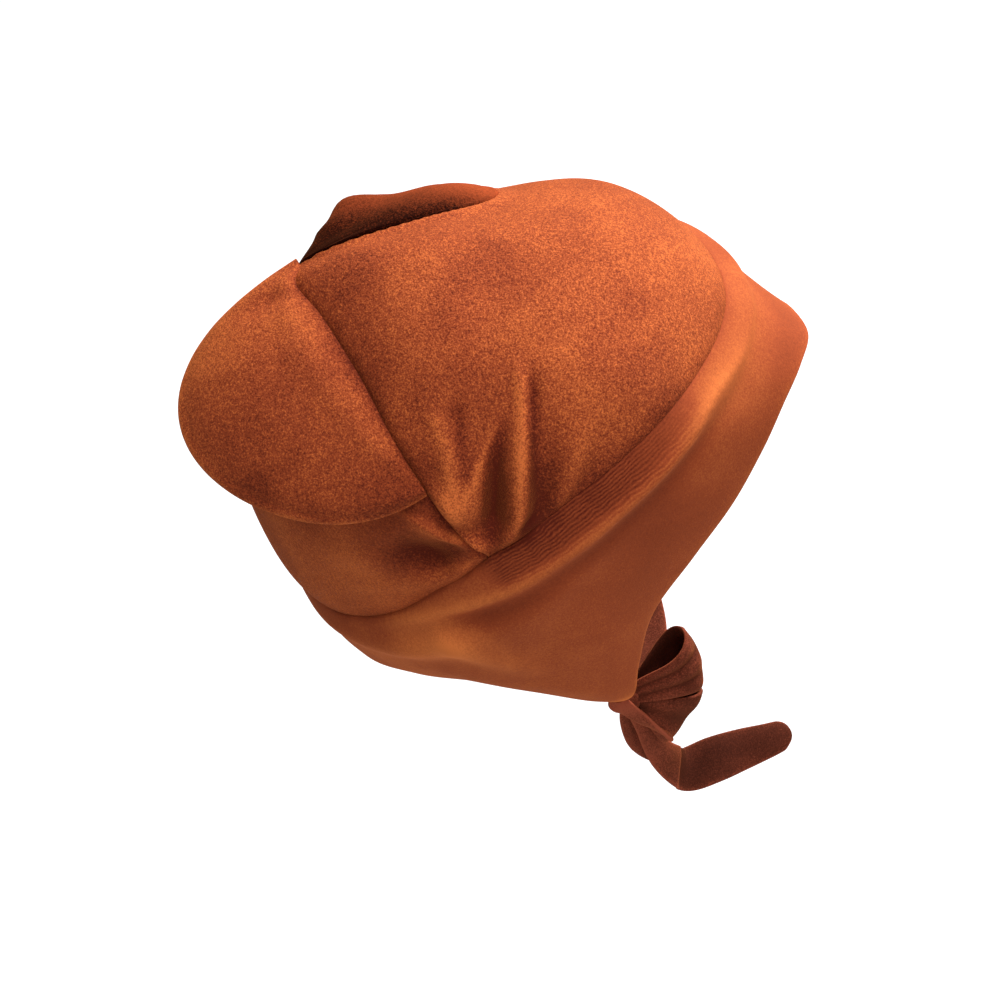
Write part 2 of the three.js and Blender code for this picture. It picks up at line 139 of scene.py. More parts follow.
# Finer folds of the cloth's own surface, in the same columns.
CREASES = [
    (-86, 17, 35, -64, 2.5, 87, 3.0, 2.2),
    (-84.5, 9.5, 42, -69, -1, 82, 2.8, -2.0),
    (-84, 22.5, 42, -69, 12.5, 84, 3.8, -1.6),
    (-83.4, 28.5, 50, -71, 16.5, 82, 3.2, 1.6),
    (-84, 34, 54, -77, 39, 65, 5.0, 3.4),
    (-81, -6, 50, -68, -20, 81, 4.5, 1.6),
    (-79, -13, 51, -68, -28, 78, 5.0, -1.4),
    (-85, 28, 39, -79, 56, 52, 3.4, 2.8),
    (-84, 30, 45, -80, 46, 56, 2.8, -1.4),
    (-83, 38, 36, -75, 70, 27, 7.0, -2.4),
    (-84, 36, 25, -66, 84, 2, 5.0, 1.8),
    (-80, 72, 26, -60, 96, 20, 7.0, 1.2),
    (-88, 44, -14, -56, 92, -44, 8.0, 2.0),
    (-86, 50, -34, -62, 84, -56, 7.0, -1.2),
    (-74, 20, -60, -62, -14, -94, 6.0, 0.9),
]

# Folds beside the junction that bend with the crown: width, height,
# shift of tone painted as highlight on ridges and shade in valleys, middle line.
BENT_FOLDS = [
    (2.5, 2.8, 0.3, [
        (-86, 17, 39), (-87.4, 11, 49), (-80.3, 6.6, 69.4),
        (-71, 4.1, 80.4), (-61.2, 2.8, 88.6), (-50, 2.5, 95),
    ]),
    (2.6, -2.4, -0.34, [
        (-85, 12, 41), (-83.6, 5, 48), (-78.5, 1.4, 67),
        (-71, -0.8, 79.4), (-62, -2, 87), (-54, -2.5, 92),
    ]),
    (2.0, 1.8, 0.26, [
        (-84, 31, 55), (-83.4, 28.6, 61), (-77, 22.2, 69), (-70.7, 16.1, 77.8), (-65, 12, 83),
    ]),
    (2.8, -1.8, -0.2, [(-85, 23, 42), (-81, 19.5, 55), (-73.2, 13.8, 74), (-66, 9.5, 83)]),
    (3.2, -1.5, -0.24, [(-60, 26, 88), (-66.8, 26.6, 82.9), (-76.6, 26.8, 72.4), (-81, 27.4, 66)]),
    (3.6, 1.2, 0.2, [
        (-60, 36, 87), (-65.5, 34.5, 83), (-73.5, 33, 75.5), (-81.5, 33.5, 64), (-84, 34, 56),
    ]),
    (2.0, 1.8, 0.24, [(-75, 60, 56), (-78.5, 52.8, 53.3), (-83.5, 40.8, 46.7), (-85.5, 30, 38)]),
]
# Width of the painted highlight and shade along the bent folds, as a share of their width.
BENT_SHADING_WIDTH = 0.8

# Soft ridge that runs along the band below the pile strip: x y z. The hollow lies below it.
BAND_RIDGE = [
    (-20, -84, 62),
    (-48, -66, 62),
    (-64, -54, 56),
    (-72, -43.5, 51),
    (-78, -34, 46),
    (-82.5, -22.5, 39.5),
    (-86, -12, 33),
    (-89, 3, 25),
    (-90, 19, 16),
    (-88, 32.5, 9),
    (-84.5, 45, 3),
    (-73, 68, -11),
    (-50, 96, -30),
]
RIDGE_WIDTH = 3.2
RIDGE_RISE = 2.8
HOLLOW_SHIFT = (0.0, -2.5, -9.0)
HOLLOW_WIDTH = 6.0
HOLLOW_DEPTH = 2.4

# Ribbed pile strip: width and ribs in millimetres, its ends along the band, its tone and relief.
STRIP_WIDTH = 14.0
STRIP_RIB = 1.4
STRIP_FROM = 0.09
STRIP_FADE_IN = 0.06
STRIP_TO = 0.262
STRIP_FADE_OUT = 0.015
STRIP_DIM = -0.17
RIB_TONE = 0.16
RIB_RELIEF = 0.3

# Spots of painted light and painted shade: x y z, size, shift of tone.
PAINTED_LIGHT_SPOTS = [
    (-83, 14, 50, 22, -0.1),
    (-80, 58, 30, 16, -0.12),
    (-62, 4, 92, 22, 0.05),
    (-20, -40, 96, 34, 0.1),
    (10, -60, 86, 34, 0.12),
    (-6, -82, 62, 14, 0.1),
    (-2, -104, 43, 20, -0.14),
    (-74, 86, 14, 20, 0.2),
    (-39, -50, -174, 20, -0.22),
    (-86, 52, 62, 16, -0.12),
    (-84, 88, 92, 16, 0.16),
    (-66, 112, 72, 24, -0.2),
    (-84, 86, 62, 22, -0.05),
    (-26, 122, 97, 20, 0.16),
    (-8, 100, 110, 20, 0.12),
    (-50, -68, 56, 14, 0.16),
    (-30, -76, 62, 16, 0.16),
    (-70, -42, 22, 20, -0.06),
    (-84, 54, -20, 20, 0.24),
    (-66, 78, -50, 18, 0.1),
    (-58, -10, -106, 9, 0.5),
    (-57, -22, -126, 14, 0.3),
    (-50, -20, -150, 14, 0.25),
    (-46, -30, -174, 12, 0.1),
]

# Lines of painted highlight and painted shade along fold crests and valleys: x y z, x y z, width, shift of
# tone.
PAINTED_LIGHT_LINES = [
    (-88, 16, 36, -66, 3.5, 88, 1.9, 0.16),
    (-87, 9.5, 38, -68, -1.5, 86, 2.6, -0.3),
    (-86, 3, 44, -74, -7, 76, 4.0, -0.14),
    (-86, 22, 42, -70, 12, 84, 3.4, -0.34),
    (-85, 29, 50, -74, 17, 80, 2.2, 0.3),
    (-86, 33, 54, -80, 39, 62, 3.6, 0.22),
    (-86, 29.5, 50, -83, 31.5, 57, 2.6, -0.3),
    (-83, -6, 50, -70, -20, 80, 2.6, 0.14),
    (-87, 28, 39, -81, 58, 52, 2.2, 0.3),
    (-86, 40, 33, -78, 70, 26, 6.0, -0.26),
    (-87, 30, 30, -70, 82, 3, 1.8, 0.22),
    (-43, -50, -180, -38, -72, -180, 3.0, 0.2),
]
# Painted highlight along the crest of the band's ridge: tone, and width in millimetres.
RIDGE_HIGHLIGHT = 0.3
RIDGE_HIGHLIGHT_WIDTH = 2.2

# Finishes. Columns: tuft as a share of the pile size, streak, sheen, bump,
# gains of painted fold shading, seam shade and hem highlight, gain of pile tone, gloss.
FINISHES = {
    "Velour Crown": (1.0, 0.55, 0.5, 0.9, 0.06, 0.3, 0.15, 1.3, 0.12),
    "Velour Back": (1.0, 0.5, 0.45, 0.8, 0.06, 0.3, 0.15, 0.9, 0.12),
    "Velour Band": (1.0, 0.3, 0.4, 0.25, 0.07, 0.12, 0.15, 0.35, 0.12),
    "Velour Ear": (1.0, 0.5, 0.5, 0.9, 0.07, 0.3, 0.45, 1.2, 0.12),
    # The far ear's finish is a shaded copy of the velour, with little sheen and gloss, for the painted
    # shade of its fold.
    "Velour Far Ear Shaded": (1.0, 0.15, 0.08, 0.4, 0.07, 0.3, 0.0, 0.4, 0.02),
    "Velour Ties": (0.8, 0.4, 0.3, 0.35, 0.12, 0.3, 0.45, 0.9, 0.06),
}
FAR_FOLD_SHADING_GAIN = FINISHES["Velour Far Ear Shaded"][4]
SHEEN_ROUGHNESS = 0.42
SHEEN_TINT = (1.0, 0.27, 0.06, 1)
ROUGHNESS = (0.72, 0.95)
RELIEF = 0.0006

# Scales of the noises: brushed patches, wandering ribs and broken tufts.
BRUSHED_SCALE = 34
WIDE_SCALE = 11
WANDER_SCALE = 160
TUFT_SCALE = 700

# Shares by which the maker's colours are multiplied: the band's warmth, the dark end
# for the far ear's painted shade, and the ties' painted shade and painted highlight ends.
BAND_WARMTH = (1.0, 1.06, 1.07)
FAR_SHADE = 0.1
TIE_SHADE = 0.42
TIE_LIGHT = 3

# Stitched groove of both ears and the start of their rims: shares of the way out, depth in millimetres.
GROOVE_AT = 0.945
GROOVE_WIDTH = 0.018
GROOVE_DEPTH = 0.5
RIM_FROM = 0.985

# Near ear, in millimetres. Start, end and places on it are shares, first along and then out.
NEAR_EAR = {
    "start": 0.185,
    "end": 0.51,
    "facing": (-0.425, -0.058, 0.903),
    "reach": 67.0,
    "widen": 0.05,
    "skew": 0.2,
    "thick": 6.0,
    "edge": 2.0,
    "droop": 9.0,
    "belly": 5.4,
    "root": 2.2,
    "tip_over": 3.4,
    "tip_width": 0.06,
    "roll": 2.0,
    "roll_at": 0.13,
    "roll_width": 0.15,
    "fall": 2.4,
    "fall_from": 0.78,
    "dent": 2.0,
    "dent_at": (0.86, 0.3),
    "dent_size": (0.05, 0.3),
}

# Far ear, in millimetres. Start, end, root, reach down the crown and places on it are shares.
FAR_EAR = {
    "start": 0.515,
    "end": 0.86,
    "root": 0.99,
    "skew": -0.4,
    "reach": 0.46,
    "clear": 1.8,
    "roll": 5.0,
    "roll_at": 0.1,
    "roll_width": 0.16,
    "peak": 0.6,
    "peak_at": 0.38,
    "peak_width": 0.07,
    "thick": 4.0,
    "thin": 0.9,
    "tight": -0.5,
}

# Crest of the crown against the far ear, and its plump edge beside the junction
CREST_RISE = 1.6
CREST_WIDTH = 7.0
CROWN_DEPTH = 150.0
LIP_PLACE = (-83, 34, 46)
LIP_REACH = 20.0
LIP_RISE = 2.2

# Ties and tails: a point of the middle line, the direction across, half the width.
TIE_RIGHT = [
    (-57.6, -8.9, -102.9, -0.29, 0.85, 0.43, 4.4),
    (-57.8, -8.5, -104, -0.29, 0.85, 0.43, 4.2),
    (-57.9, -11.2, -107.8, -0.1, 0.9, 0.4, 3.9),
    (-57.6, -14.5, -113.5, 0, 0.85, 0.5, 3.7),
    (-57.4, -21, -123, 0.1, 0.7, 0.7, 3.4),
    (-56.6, -29, -136, 0.2, 0.55, 0.8, 3),
]
TIE_LEFT = [
    (58, -8.3, -103.3, 0.27, 0.87, 0.4, 5),
    (58.3, -7.5, -105.6, 0.25, 0.87, 0.41, 6),
    (55, -11, -115, 0, 1, 0.2, 7.5),
    (46, -16, -127, 0, 1, 0, 8),
    (29, -20, -137, 0, 1, 0, 8),
    (9, -23, -141, 0, 1, 0, 8),
    (-11, -21, -138, 0, 1, 0, 7.5),
    (-28, -17, -128, 0, 1, 0, 6),
    (-41.5, -13, -114, 0, 1, 0.1, 4),
]
TAIL_FRONT = [
    (-50, -13.6, -119.9, -0.3, 0.9, 0.3, 3),
    (-50.3, -17.5, -133, -0.4, 0.85, 0.1, 4.5),
    (-49.5, -20.5, -150, -0.5, 0.8, -0.2, 6),
    (-47.2, -25.5, -166, -0.75, 0.4, -0.5, 8.5),
    (-45.5, -32, -175.5, -0.85, 0.1, -0.5, 10),
    (-41.5, -45, -176, -0.85, 0, -0.52, 10.5),
    (-37, -58, -177, -0.85, 0, -0.52, 9.5),
    (-34, -70, -177, -0.85, 0, -0.52, 8),
    (-32, -77, -177, -0.85, 0, -0.52, 7),
    (-31.5, -82, -177, -0.85, 0, -0.52, 6),
]
TAIL_BACK = [
    (-46, -11.5, -119.5, -0.3, 0.9, 0.3, 3.2),
    (-46, -11.5, -133, -0.3, 0.95, 0, 5),
    (-45.3, -12.8, -147, -0.3, 0.95, 0, 5.5),
    (-44, -16, -157, -0.3, 0.95, -0.3, 5.5),
    (-43, -20, -165, -0.3, 0.9, -0.4, 4.5),
    (-43, -22, -168, -0.3, 0.9, -0.4, 2.5),
]

# Where the front tail folds back under itself: step in millimetres, lengths as shares,
# and the tones of a painted shade inside the fold and a painted glint along its edge.
TAIL_TUCK = {
    "at": 0.345,
    "slant": 0.03,
    "step": 1.8,
    "edge": 0.006,
    "shade": 0.8,
    "shade_reach": 0.08,
    "glint": 0.3,
    "glint_width": 0.012,
}

# Knot: place and size in millimetres, power of its form, depth of its bands, angle of its end caps.
KNOT = {
    "place": (-48, -12.9, -112.6),
    "size": (10, 10.4, 13),
    "squareness": 0.6,
    "wrap": 0.05,
    "cap": 0.03,
}

# Loops: their corners at the knot and at the far edge, with opening, lean and pleats.
LOOP_UPPER = {
    "far_low": (-45, -43.5, -115),
    "far_high": (-34.5, -40, -91),
    "near_low": (-50, -14.5, -114),
    "near_high": (-46.5, -14.5, -105.5),
    "open": 7.0,
    "lean": 3.0,
    "pleats": 2.5,
    "pleat": 1.2,
    "face": -0.6,
}
LOOP_LOWER = {
    "far_low": (-49.5, -23.5, -145),
    "far_high": (-41, -43.5, -122),
    "near_low": (-51, -15.5, -119),
    "near_high": (-48.5, -15.5, -113.9),
    "open": 3.5,
    "lean": 0.0,
    "pleats": 1.5,
    "pleat": 0.8,
    "face": -1.6,
}
LOOP_START = 0.004
# Painted shade on the inside of each loop, as a shift of tone.
LOOP_INSIDE_SHADE = -4.0

# Camera above the right side: azimuth, elevation and roll in degrees, its aim and distance in metres.
CAMERA_TURN = (278.5, 46, -14)
CAMERA_AIM = (0, 0.0285, -0.029)
CAMERA_DISTANCE = 0.9
CAMERA_LENS = 75.96

# Soft boxes: name, place, size, watts.
LIGHTS = [
    ("Key", (0.75, -0.62, 0.62), 0.55, 22),
    ("Top", (-0.1, -0.25, 1.15), 0.7, 8),
    ("Fill", (-1.2, -0.5, 0.45), 0.9, 4),
]
LIGHT_AIM = (0, 0.02, -0.02)
SKY_STRENGTH = 0.32
FLOOR_SIZE = 8
FLOOR_GLOW = 0.6


class HatSizes(bpy.types.PropertyGroup):
    """Sizes of the cloth that a maker would change."""

    cloth: bpy.props.FloatProperty(
        name="Cloth wall",
        description="Thickness of the two sewn layers of velour",
        default=0.0026,
        min=0.001,
        max=0.004,
        unit="LENGTH",
    )
    seam_puff: bpy.props.FloatProperty(
        name="Seam puff",
        description="How far the cloth swells beside a seam",
        default=0.0024,
        min=0.0,
        max=0.005,
        unit="LENGTH",
    )
    fold_share: bpy.props.FloatProperty(
        name="Fold share",
        description="How deep the folds are, as a share of the worn hat's",
        default=1.0,
        min=0.0,
        max=1.5,
        subtype="FACTOR",
    )
    pile_size: bpy.props.FloatProperty(
        name="Pile size",
        description="Width of one tuft of the pile",
        default=0.0007,
        min=0.0004,
        max=0.004,
        unit="LENGTH",
    )
    floor_drop: bpy.props.FloatProperty(
        name="Floor drop",
        description="How far the floor lies below the head seat",
        default=0.34,
        min=0.2,
        max=1.0,
        unit="LENGTH",
    )


class HatColours(bpy.types.PropertyGroup):
    """Colours of the velour and the stage."""

    rust: bpy.props.FloatVectorProperty(
        name="Rust",
        description="Main colour of the velour",
        default=(0.345, 0.059, 0.0175),
        size=3,
        min=0.0,
        max=1.0,
        subtype="COLOR",
    )
    # Dark end of the velour's tone, which painted shade in folds, seams, hollows and the far ear's fold
    # reaches.
    rust_shade: bpy.props.FloatVectorProperty(
        name="Shaded rust",
        description="Colour of the velour where the pile is pushed away or folded in",
        default=(0.105, 0.0115, 0.0045),
        size=3,
        min=0.0,
        max=1.0,
        subtype="COLOR",
    )
    # Light end of the velour's tone, which painted highlights on ridges, rims and lit spots reach.
    rust_bright: bpy.props.FloatVectorProperty(
        name="Bright rust",
        description="Colour of the velour where the pile catches the light",
        default=(0.74, 0.175, 0.042),
        size=3,
        min=0.0,
        max=1.0,
        subtype="COLOR",
    )
    tie: bpy.props.FloatVectorProperty(
        name="Ties",
        description="Main colour of the ties and bow",
        default=(0.115, 0.025, 0.0125),
        size=3,
        min=0.0,
        max=1.0,
        subtype="COLOR",
    )
    floor: bpy.props.FloatVectorProperty(
        name="Floor",
        description="Colour of the pale floor",
        default=(0.5, 0.5, 0.5),
        size=3,
        min=0.0,
        max=1.0,
        subtype="COLOR",
    )


def sizes():
    """The maker's sizes."""
    return bpy.context.scene.hat_sizes


def colours():
    """The maker's colours."""
    return bpy.context.scene.hat_colours


# Curves and surfaces of the hat, in millimetres


def catmull(points, t, closed=False):
    """Uniform Catmull-Rom curve through the points, with t from 0 to 1 along all of it."""
    p = np.asarray(points, float)
    t = np.asarray(t, float)
    n = len(p)
    if closed:
        s = (t % 1.0) * n
        i = np.floor(s).astype(int) % n
        w = s - np.floor(s)
        four = [p[(i + k) % n] for k in (-1, 0, 1, 2)]
    else:
        s = np.clip(t, 0, 1) * (n - 1)
        i = np.clip(np.floor(s).astype(int), 0, n - 2)
        w = s - i
        q = np.vstack([2 * p[0] - p[1], p, 2 * p[-1] - p[-2]])
        four = [q[i + k] for k in range(4)]
    w = w[..., None]
    a, b, c, d = four
    return 0.5 * (
        2 * b + (c - a) * w + (2 * a - 5 * b + 4 * c - d) * w**2 + (3 * b - a - 3 * c + d) * w**3
    )


def both_sides(half_rows):
    """Rows of the right side and their mirror image, as one loop."""
    r = np.asarray(half_rows, float)
    return np.vstack([r * [-1, 1, 1], r[1:-1][::-1]])


SEAM_LOOP = both_sides([r[:3] for r in BAND])
HEM_LOOP = both_sides([r[3:6] for r in BAND])
SWELL_LOOP = both_sides([(0, r[6], r[7]) for r in BAND])
JUNCTION_AT = JUNCTION_STATION / (2 * (len(BAND) - 1))
EAR_LINE = np.vstack([np.asarray(EAR_SEAM, float) * [-1, 1, 1], np.asarray(EAR_SEAM, float)[:-1][::-1]])


def front_seam(u):
    """The band's seam from the right junction over the forehead to the left one."""
    return catmull(SEAM_LOOP, JUNCTION_AT * (1 - 2 * u), True)


def back_seam(u):
    """The band's seam from the right junction round the nape to the left one."""
    return catmull(SEAM_LOOP, JUNCTION_AT + (1 - 2 * JUNCTION_AT) * u, True)


def ear_seam(u):
    """The seam that holds the ears, from the right junction over the crown to the left one."""
    return catmull(EAR_LINE, u)


def unit(v):
    """Vectors of length one."""
    return v / np.maximum(np.linalg.norm(v, axis=-1, keepdims=True), 1e-9)


def inward(p):
    """Direction from the cloth towards the head."""
    centre = np.zeros_like(p)
    centre[..., 1] = CORE_Y
    centre[..., 2] = np.minimum(p[..., 2], CORE_Z)
    return unit(centre - p)


def arch(u, angle, reach):
    """A point of the middle profile spread sideways between the junctions."""
    a = np.radians(angle)
    c, s = np.cos(PI * u), np.sin(PI * u)
    power = 2 / CROWN_ROUNDNESS
    spread = reach * np.abs(s) ** power
    x = -JUNCTION[0] * np.sign(c) * np.abs(c) ** power
    return np.stack([x, JUNCTION[1] - spread * np.cos(a), JUNCTION[2] + spread * np.sin(a)], -1)


def dome(profile, low_seam, high_seam):
    """A crown panel between two seams."""

    def surface(u, v):
        row = catmull(profile, v)
        low = low_seam(u) - arch(u, *profile[0])
        high = high_seam(u) - arch(u, *profile[-1])
        share_low = ((1 - v) ** 2)[..., None]
        share_high = (v**2)[..., None]
        return arch(u, row[..., 0], row[..., 1]) + low * share_low + high * share_high

    return surface


crown_surface = dome(CROWN_PROFILE, front_seam, ear_seam)
back_surface = dome(BACK_PROFILE, ear_seam, back_seam)


def band_surface(t, v):
    """The band between its seam and its hem: a roll just below the seam, then the swell."""
    top = catmull(SEAM_LOOP, t, True)
    low = catmull(HEM_LOOP, t, True)
    form = catmull(SWELL_LOOP, t, True)
    p = top + (low - top) * v[..., None]
    out = p * [1, 1, 0] - [0, CORE_Y, 0]
    roll = form[..., 2] * bell(v, ROLL_AT, ROLL_WIDTH)
    swell = form[..., 1] * np.maximum(np.sin(PI * v), 0) ** 0.8
    return p + unit(out) * (swell + roll)[..., None]


def bell(x, middle, width):
    """A soft bump of height one about the middle."""
    return np.exp(-(((x - middle) / width) ** 2))


def fold_height(p, table):
    """Height of the table's folds at each point."""
    height = np.zeros(p.shape[:-1])
    for x1, y1, z1, x2, y2, z2, width, rise in table:
        start = np.array([x1, y1, z1], float)
        along = np.array([x2, y2, z2], float) - start
        t = np.clip((p - start) @ along / (along @ along), 0, 1)
        off = np.linalg.norm(p - start - t[..., None] * along, axis=-1) / width
        height += rise * np.exp(-off * off) * (1 - t * t)
    return height


def ridge_height(p, line, width, rise):
    """Height of a soft ridge along a curve, dying out at its two ends."""
    t = np.linspace(0, 1, 90)
    curve = catmull(line, t)
    fade = np.minimum(1, np.minimum(t, 1 - t) * 6)
    best = np.zeros(p.shape[:-1])
    for point, share in zip(curve, fade):
        away = ((p - point) ** 2).sum(-1) / width**2
        best = np.maximum(best, share * np.exp(-away))
    return rise * best


def soft_waves(p, size, seed):
    """Smooth uneven cloth: a few crossing waves with seeded directions, from -1 to 1."""
    rng = np.random.default_rng(seed)
    total = np.zeros(p.shape[:-1])
    for k in range(7):
        way = unit(rng.normal(size=3))
        total += np.sin(p @ way * 2 * PI / (size * rng.uniform(0.7, 1.5)) + rng.uniform(0, 2 * PI))
    return total / 7


def lengthen(p):
    """Draws the far side out to the front and back of the junction."""
    x = np.maximum(0, p[..., 0])
    share = x * x / (x * x + LONGER_FROM**2)
    reach = np.clip((p[..., 1] - JUNCTION[1]) / LONGER_REACH, -1, 1)
    out = p.copy()
    out[..., 1] += LONGER_FAR_SIDE * share * reach
    return out


# Meshes


def rim_rows(outer_edge, inner_edge, ahead):
    """Rows of points that round the edge from the outer side to the inner side."""
    middle = (outer_edge + inner_edge) / 2
    half = (outer_edge - inner_edge) / 2
    bulge = np.linalg.norm(half, axis=-1, keepdims=True)
    turns = [PI * (k + 1) / (RIM_STEPS + 1) for k in range(RIM_STEPS)]
    return np.array([middle + half * math.cos(a) + ahead * bulge * math.sin(a) * 0.9 for a in turns])


def grid_faces(rows, columns, closed_across, closed_along):
    """Quads of a grid as rows of four vertex numbers."""
    j = np.arange(rows if closed_along else rows - 1)
    i = np.arange(columns if closed_across else columns - 1)
    jj, ii = np.meshgrid(j, i, indexing="ij")
    nj, ni = (jj + 1) % rows, (ii + 1) % columns
    return np.stack(
        [jj * columns + ii, jj * columns + ni, nj * columns + ni, nj * columns + ii], -1
    ).reshape(-1, 4)


def signed_volume(points, quads):
    """Volume inside the quads, below zero where they face inwards."""
    a, b, c, d = (points[quads[:, k]] for k in range(4))
    return float((a * np.cross(b, c)).sum() + (a * np.cross(c, d)).sum()) / 6


def strip_share(t):
    """How clearly the pile strip shows along the band, from the temples to the junctions."""
    station = np.minimum(t % 1.0, 1 - t % 1.0)
    rise = np.clip((station - STRIP_FROM) / STRIP_FADE_IN, 0, 1)
    drop = np.clip((STRIP_TO - station) / STRIP_FADE_OUT, 0, 1)
    return rise * drop


def painted_light_shift(points):
    """Painted light and painted shade at each point, from its spots, bent folds and lines."""
    shift = np.zeros(len(points))
    for x, y, z, size, tone in PAINTED_LIGHT_SPOTS:
        away = ((points - [x, y, z]) ** 2).sum(-1) / size**2
        shift += tone * np.exp(-away)
    for width, _, tone, line in BENT_FOLDS:
        shift += ridge_height(points, line, width * BENT_SHADING_WIDTH, tone)
    return shift + fold_height(points, PAINTED_LIGHT_LINES)


def make_piece(name, points_mm, quads, marks):
    """A piece: its mesh in metres with faces outwards, and its marks, which read as zero where left out."""
    points = np.asarray(points_mm, float) * MM
    quads = np.asarray(quads)
    if signed_volume(points, quads) < 0:
        quads = quads[:, ::-1]
    mesh = bpy.data.meshes.new(name)
    mesh.from_pydata(points.tolist(), [], quads.tolist())
    mesh.validate()
    mesh.update()
    # Painted light and shade of the spots, bent folds and lines, with the piece's own painted glint and
    # shade.
    marks["painted_light"] = painted_light_shift(points_mm) + marks.pop("painted_glint_and_shade", 0)
    for key, values in marks.items():
        store = mesh.attributes.new(key, "FLOAT", "POINT")
        store.data.foreach_set("value", np.asarray(values, np.float32).ravel())
    piece = bpy.data.objects.new(name, mesh)
    bpy.context.scene.collection.objects.link(piece)
    select_only(piece)
    bpy.ops.object.shade_smooth_by_angle(angle=math.radians(SMOOTH_ANGLE))
    piece.select_set(False)
    return piece


def select_only(piece):
    """Makes the piece the only selected one."""
    for other in bpy.context.selected_objects:
        other.select_set(False)
    piece.select_set(True)
    bpy.context.view_layer.objects.active = piece


def finish_piece(piece, finish, node):
    """Gives the piece its finish and slot, and puts it in its solid's place."""
    piece.data.materials.append(bpy.data.materials[finish])
    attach(piece, "root")
    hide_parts(node)


def seam_rows(s, trim, seams):
    """Shares of the way down a panel, closer together near its seams and trimmed by the gap."""
    eased = 0.5 - 0.5 * np.cos(PI * s) if all(seams) else 1 - (1 - s) ** 1.4
    share = s + (eased - s) * SEAM_SHARE
    low, high = trim * seams[0], 1 - trim * seams[1]
    return low + (high - low) * share


def over_rim(values, at_rim, steps):
    """A mark down the outer side, over the rim and back up the inner side."""
    return np.concatenate([values, np.broadcast_to(at_rim, (steps, values.shape[1])), values[::-1]])


def sewn_cloth(name, surface, across, along, span, seams, detail, closed=False, extra=None):
    """A sewn wall of cloth: puffed at its seams, folded, and with a rounded hem at a free edge."""
    columns = across if closed else across + 1
    u = span[0] + (span[1] - span[0]) * np.arange(columns) / across
    steps = np.linspace(0, 1, LINE_STEPS + 1)[:, None]
    line = surface(np.tile(u, (LINE_STEPS + 1, 1)), np.tile(steps, (1, columns)))
    length = np.linalg.norm(np.diff(line, axis=0), axis=-1).sum(0)
    v = seam_rows(np.linspace(0, 1, along + 1)[:, None], GAP / 2 / length, seams)
    uu = np.tile(u, (along + 1, 1))
    base = surface(uu, v)
    towards = inward(base)
    near = np.minimum(v * length if seams[0] else FAR_OFF, (1 - v) * length if seams[1] else FAR_OFF)
    puff = sizes().seam_puff / MM * (1 - np.exp(-near / PUFF_REACH))
    folds = fold_height(base, FOLDS) * np.minimum(1, near / FOLD_FREE) + detail(base, near)
    if extra:
        folds += extra(base, near, uu, v)
    folds *= sizes().fold_share
    outer = base - towards * (puff + folds)[..., None]
    inner = outer + towards * sizes().cloth / MM
    hem = not seams[1]
    rim = rim_rows(outer[-1], inner[-1], unit(outer[-1] - outer[-2])) if hem else outer[:0]
    points = lengthen(np.concatenate([outer, rim, inner[::-1]]))
    quads = grid_faces(len(points), columns, closed, True)
    if not closed:
        quads = np.vstack([quads, side_faces(along, columns, len(points))])
    flat = points.reshape(-1, 3)
    # Marks that paint light and shade: fold height for lighter ridges and darker valleys, painted shade at
    # the seams, painted highlight at the hem.
    marks = {
        "fold": over_rim(folds, 0, len(rim)),
        "seam": over_rim(np.exp(-near / SEAM_REACH), 0, len(rim)),
        "hem": over_rim(np.exp(-(1 - v) * length / HEM_REACH) * hem, 1, len(rim)),
        "below": over_rim(v * length, length, len(rim)),
        "strip": np.tile(strip_share(u), (len(points), 1)),
    }
    if hem:
        # Painted highlight along the crest of the band's ridge.
        marks["painted_glint_and_shade"] = ridge_height(flat, BAND_RIDGE, RIDGE_HIGHLIGHT_WIDTH, RIDGE_HIGHLIGHT)
    return make_piece(name, flat, quads, marks)


def side_faces(along, columns, count):
    """Faces that close the two narrow ends between the outer and the inner layer."""
    faces = []
    for i in (0, columns - 1):
        for j in range(along):
            outer_a, outer_b = j * columns + i, (j + 1) * columns + i
            inner_a, inner_b = (count - 1 - j) * columns + i, (count - 2 - j) * columns + i
            quad = [outer_a, outer_b, inner_b, inner_a]
            faces.append(quad if i == 0 else quad[::-1])
    return np.array(faces)


def calm(base, near):
    """Slight unevenness of plain cloth."""
    return CALM_RISE * soft_waves(base, CALM_SIZE, CALM_SEED) * np.minimum(1, near / CALM_REACH)


def crown_detail(base, near):
    """Unevenness and the finer folds of the crown."""
    folds = fold_height(base, CREASES)
    for width, rise, _, line in BENT_FOLDS:
        folds += ridge_height(base, line, width, rise)
    return calm(base, near) + folds * np.minimum(1, near / CREASE_FREE)


def lip(base, near):
    """The crown's plump edge that stands over the back panel beside the junction."""
    beside = bell(np.linalg.norm(base - LIP_PLACE, axis=-1), 0, LIP_REACH)
    return LIP_RISE * beside * (1 - np.exp(-near / 0.8)) * bell(near, 2, 5)


def crest(u, v):
    """Rise of the crown against the rim of the far ear that lies on it."""
    e = FAR_EAR
    s = (u - e["start"]) / (e["end"] - e["start"])
    inside = np.clip(s, 0, 1)
    _, out = lobe(inside, 0, e["skew"])
    rim_at = e["root"] - e["reach"] * out
    away = (rim_at - v) * CROWN_DEPTH / CREST_WIDTH
    ahead = np.where(away > 0, away, away * 2)
    beyond = np.maximum(0, np.abs(s - 0.5) - 0.5) * 6
    return CREST_RISE * np.exp(-(ahead**2)) * np.exp(-(beyond**2))


def front_extra(base, near, u, v):
    """The crest against the far ear, and the plump edge beside the junction."""
    return crest(u, v) + lip(base, near) * (v > 0.5)


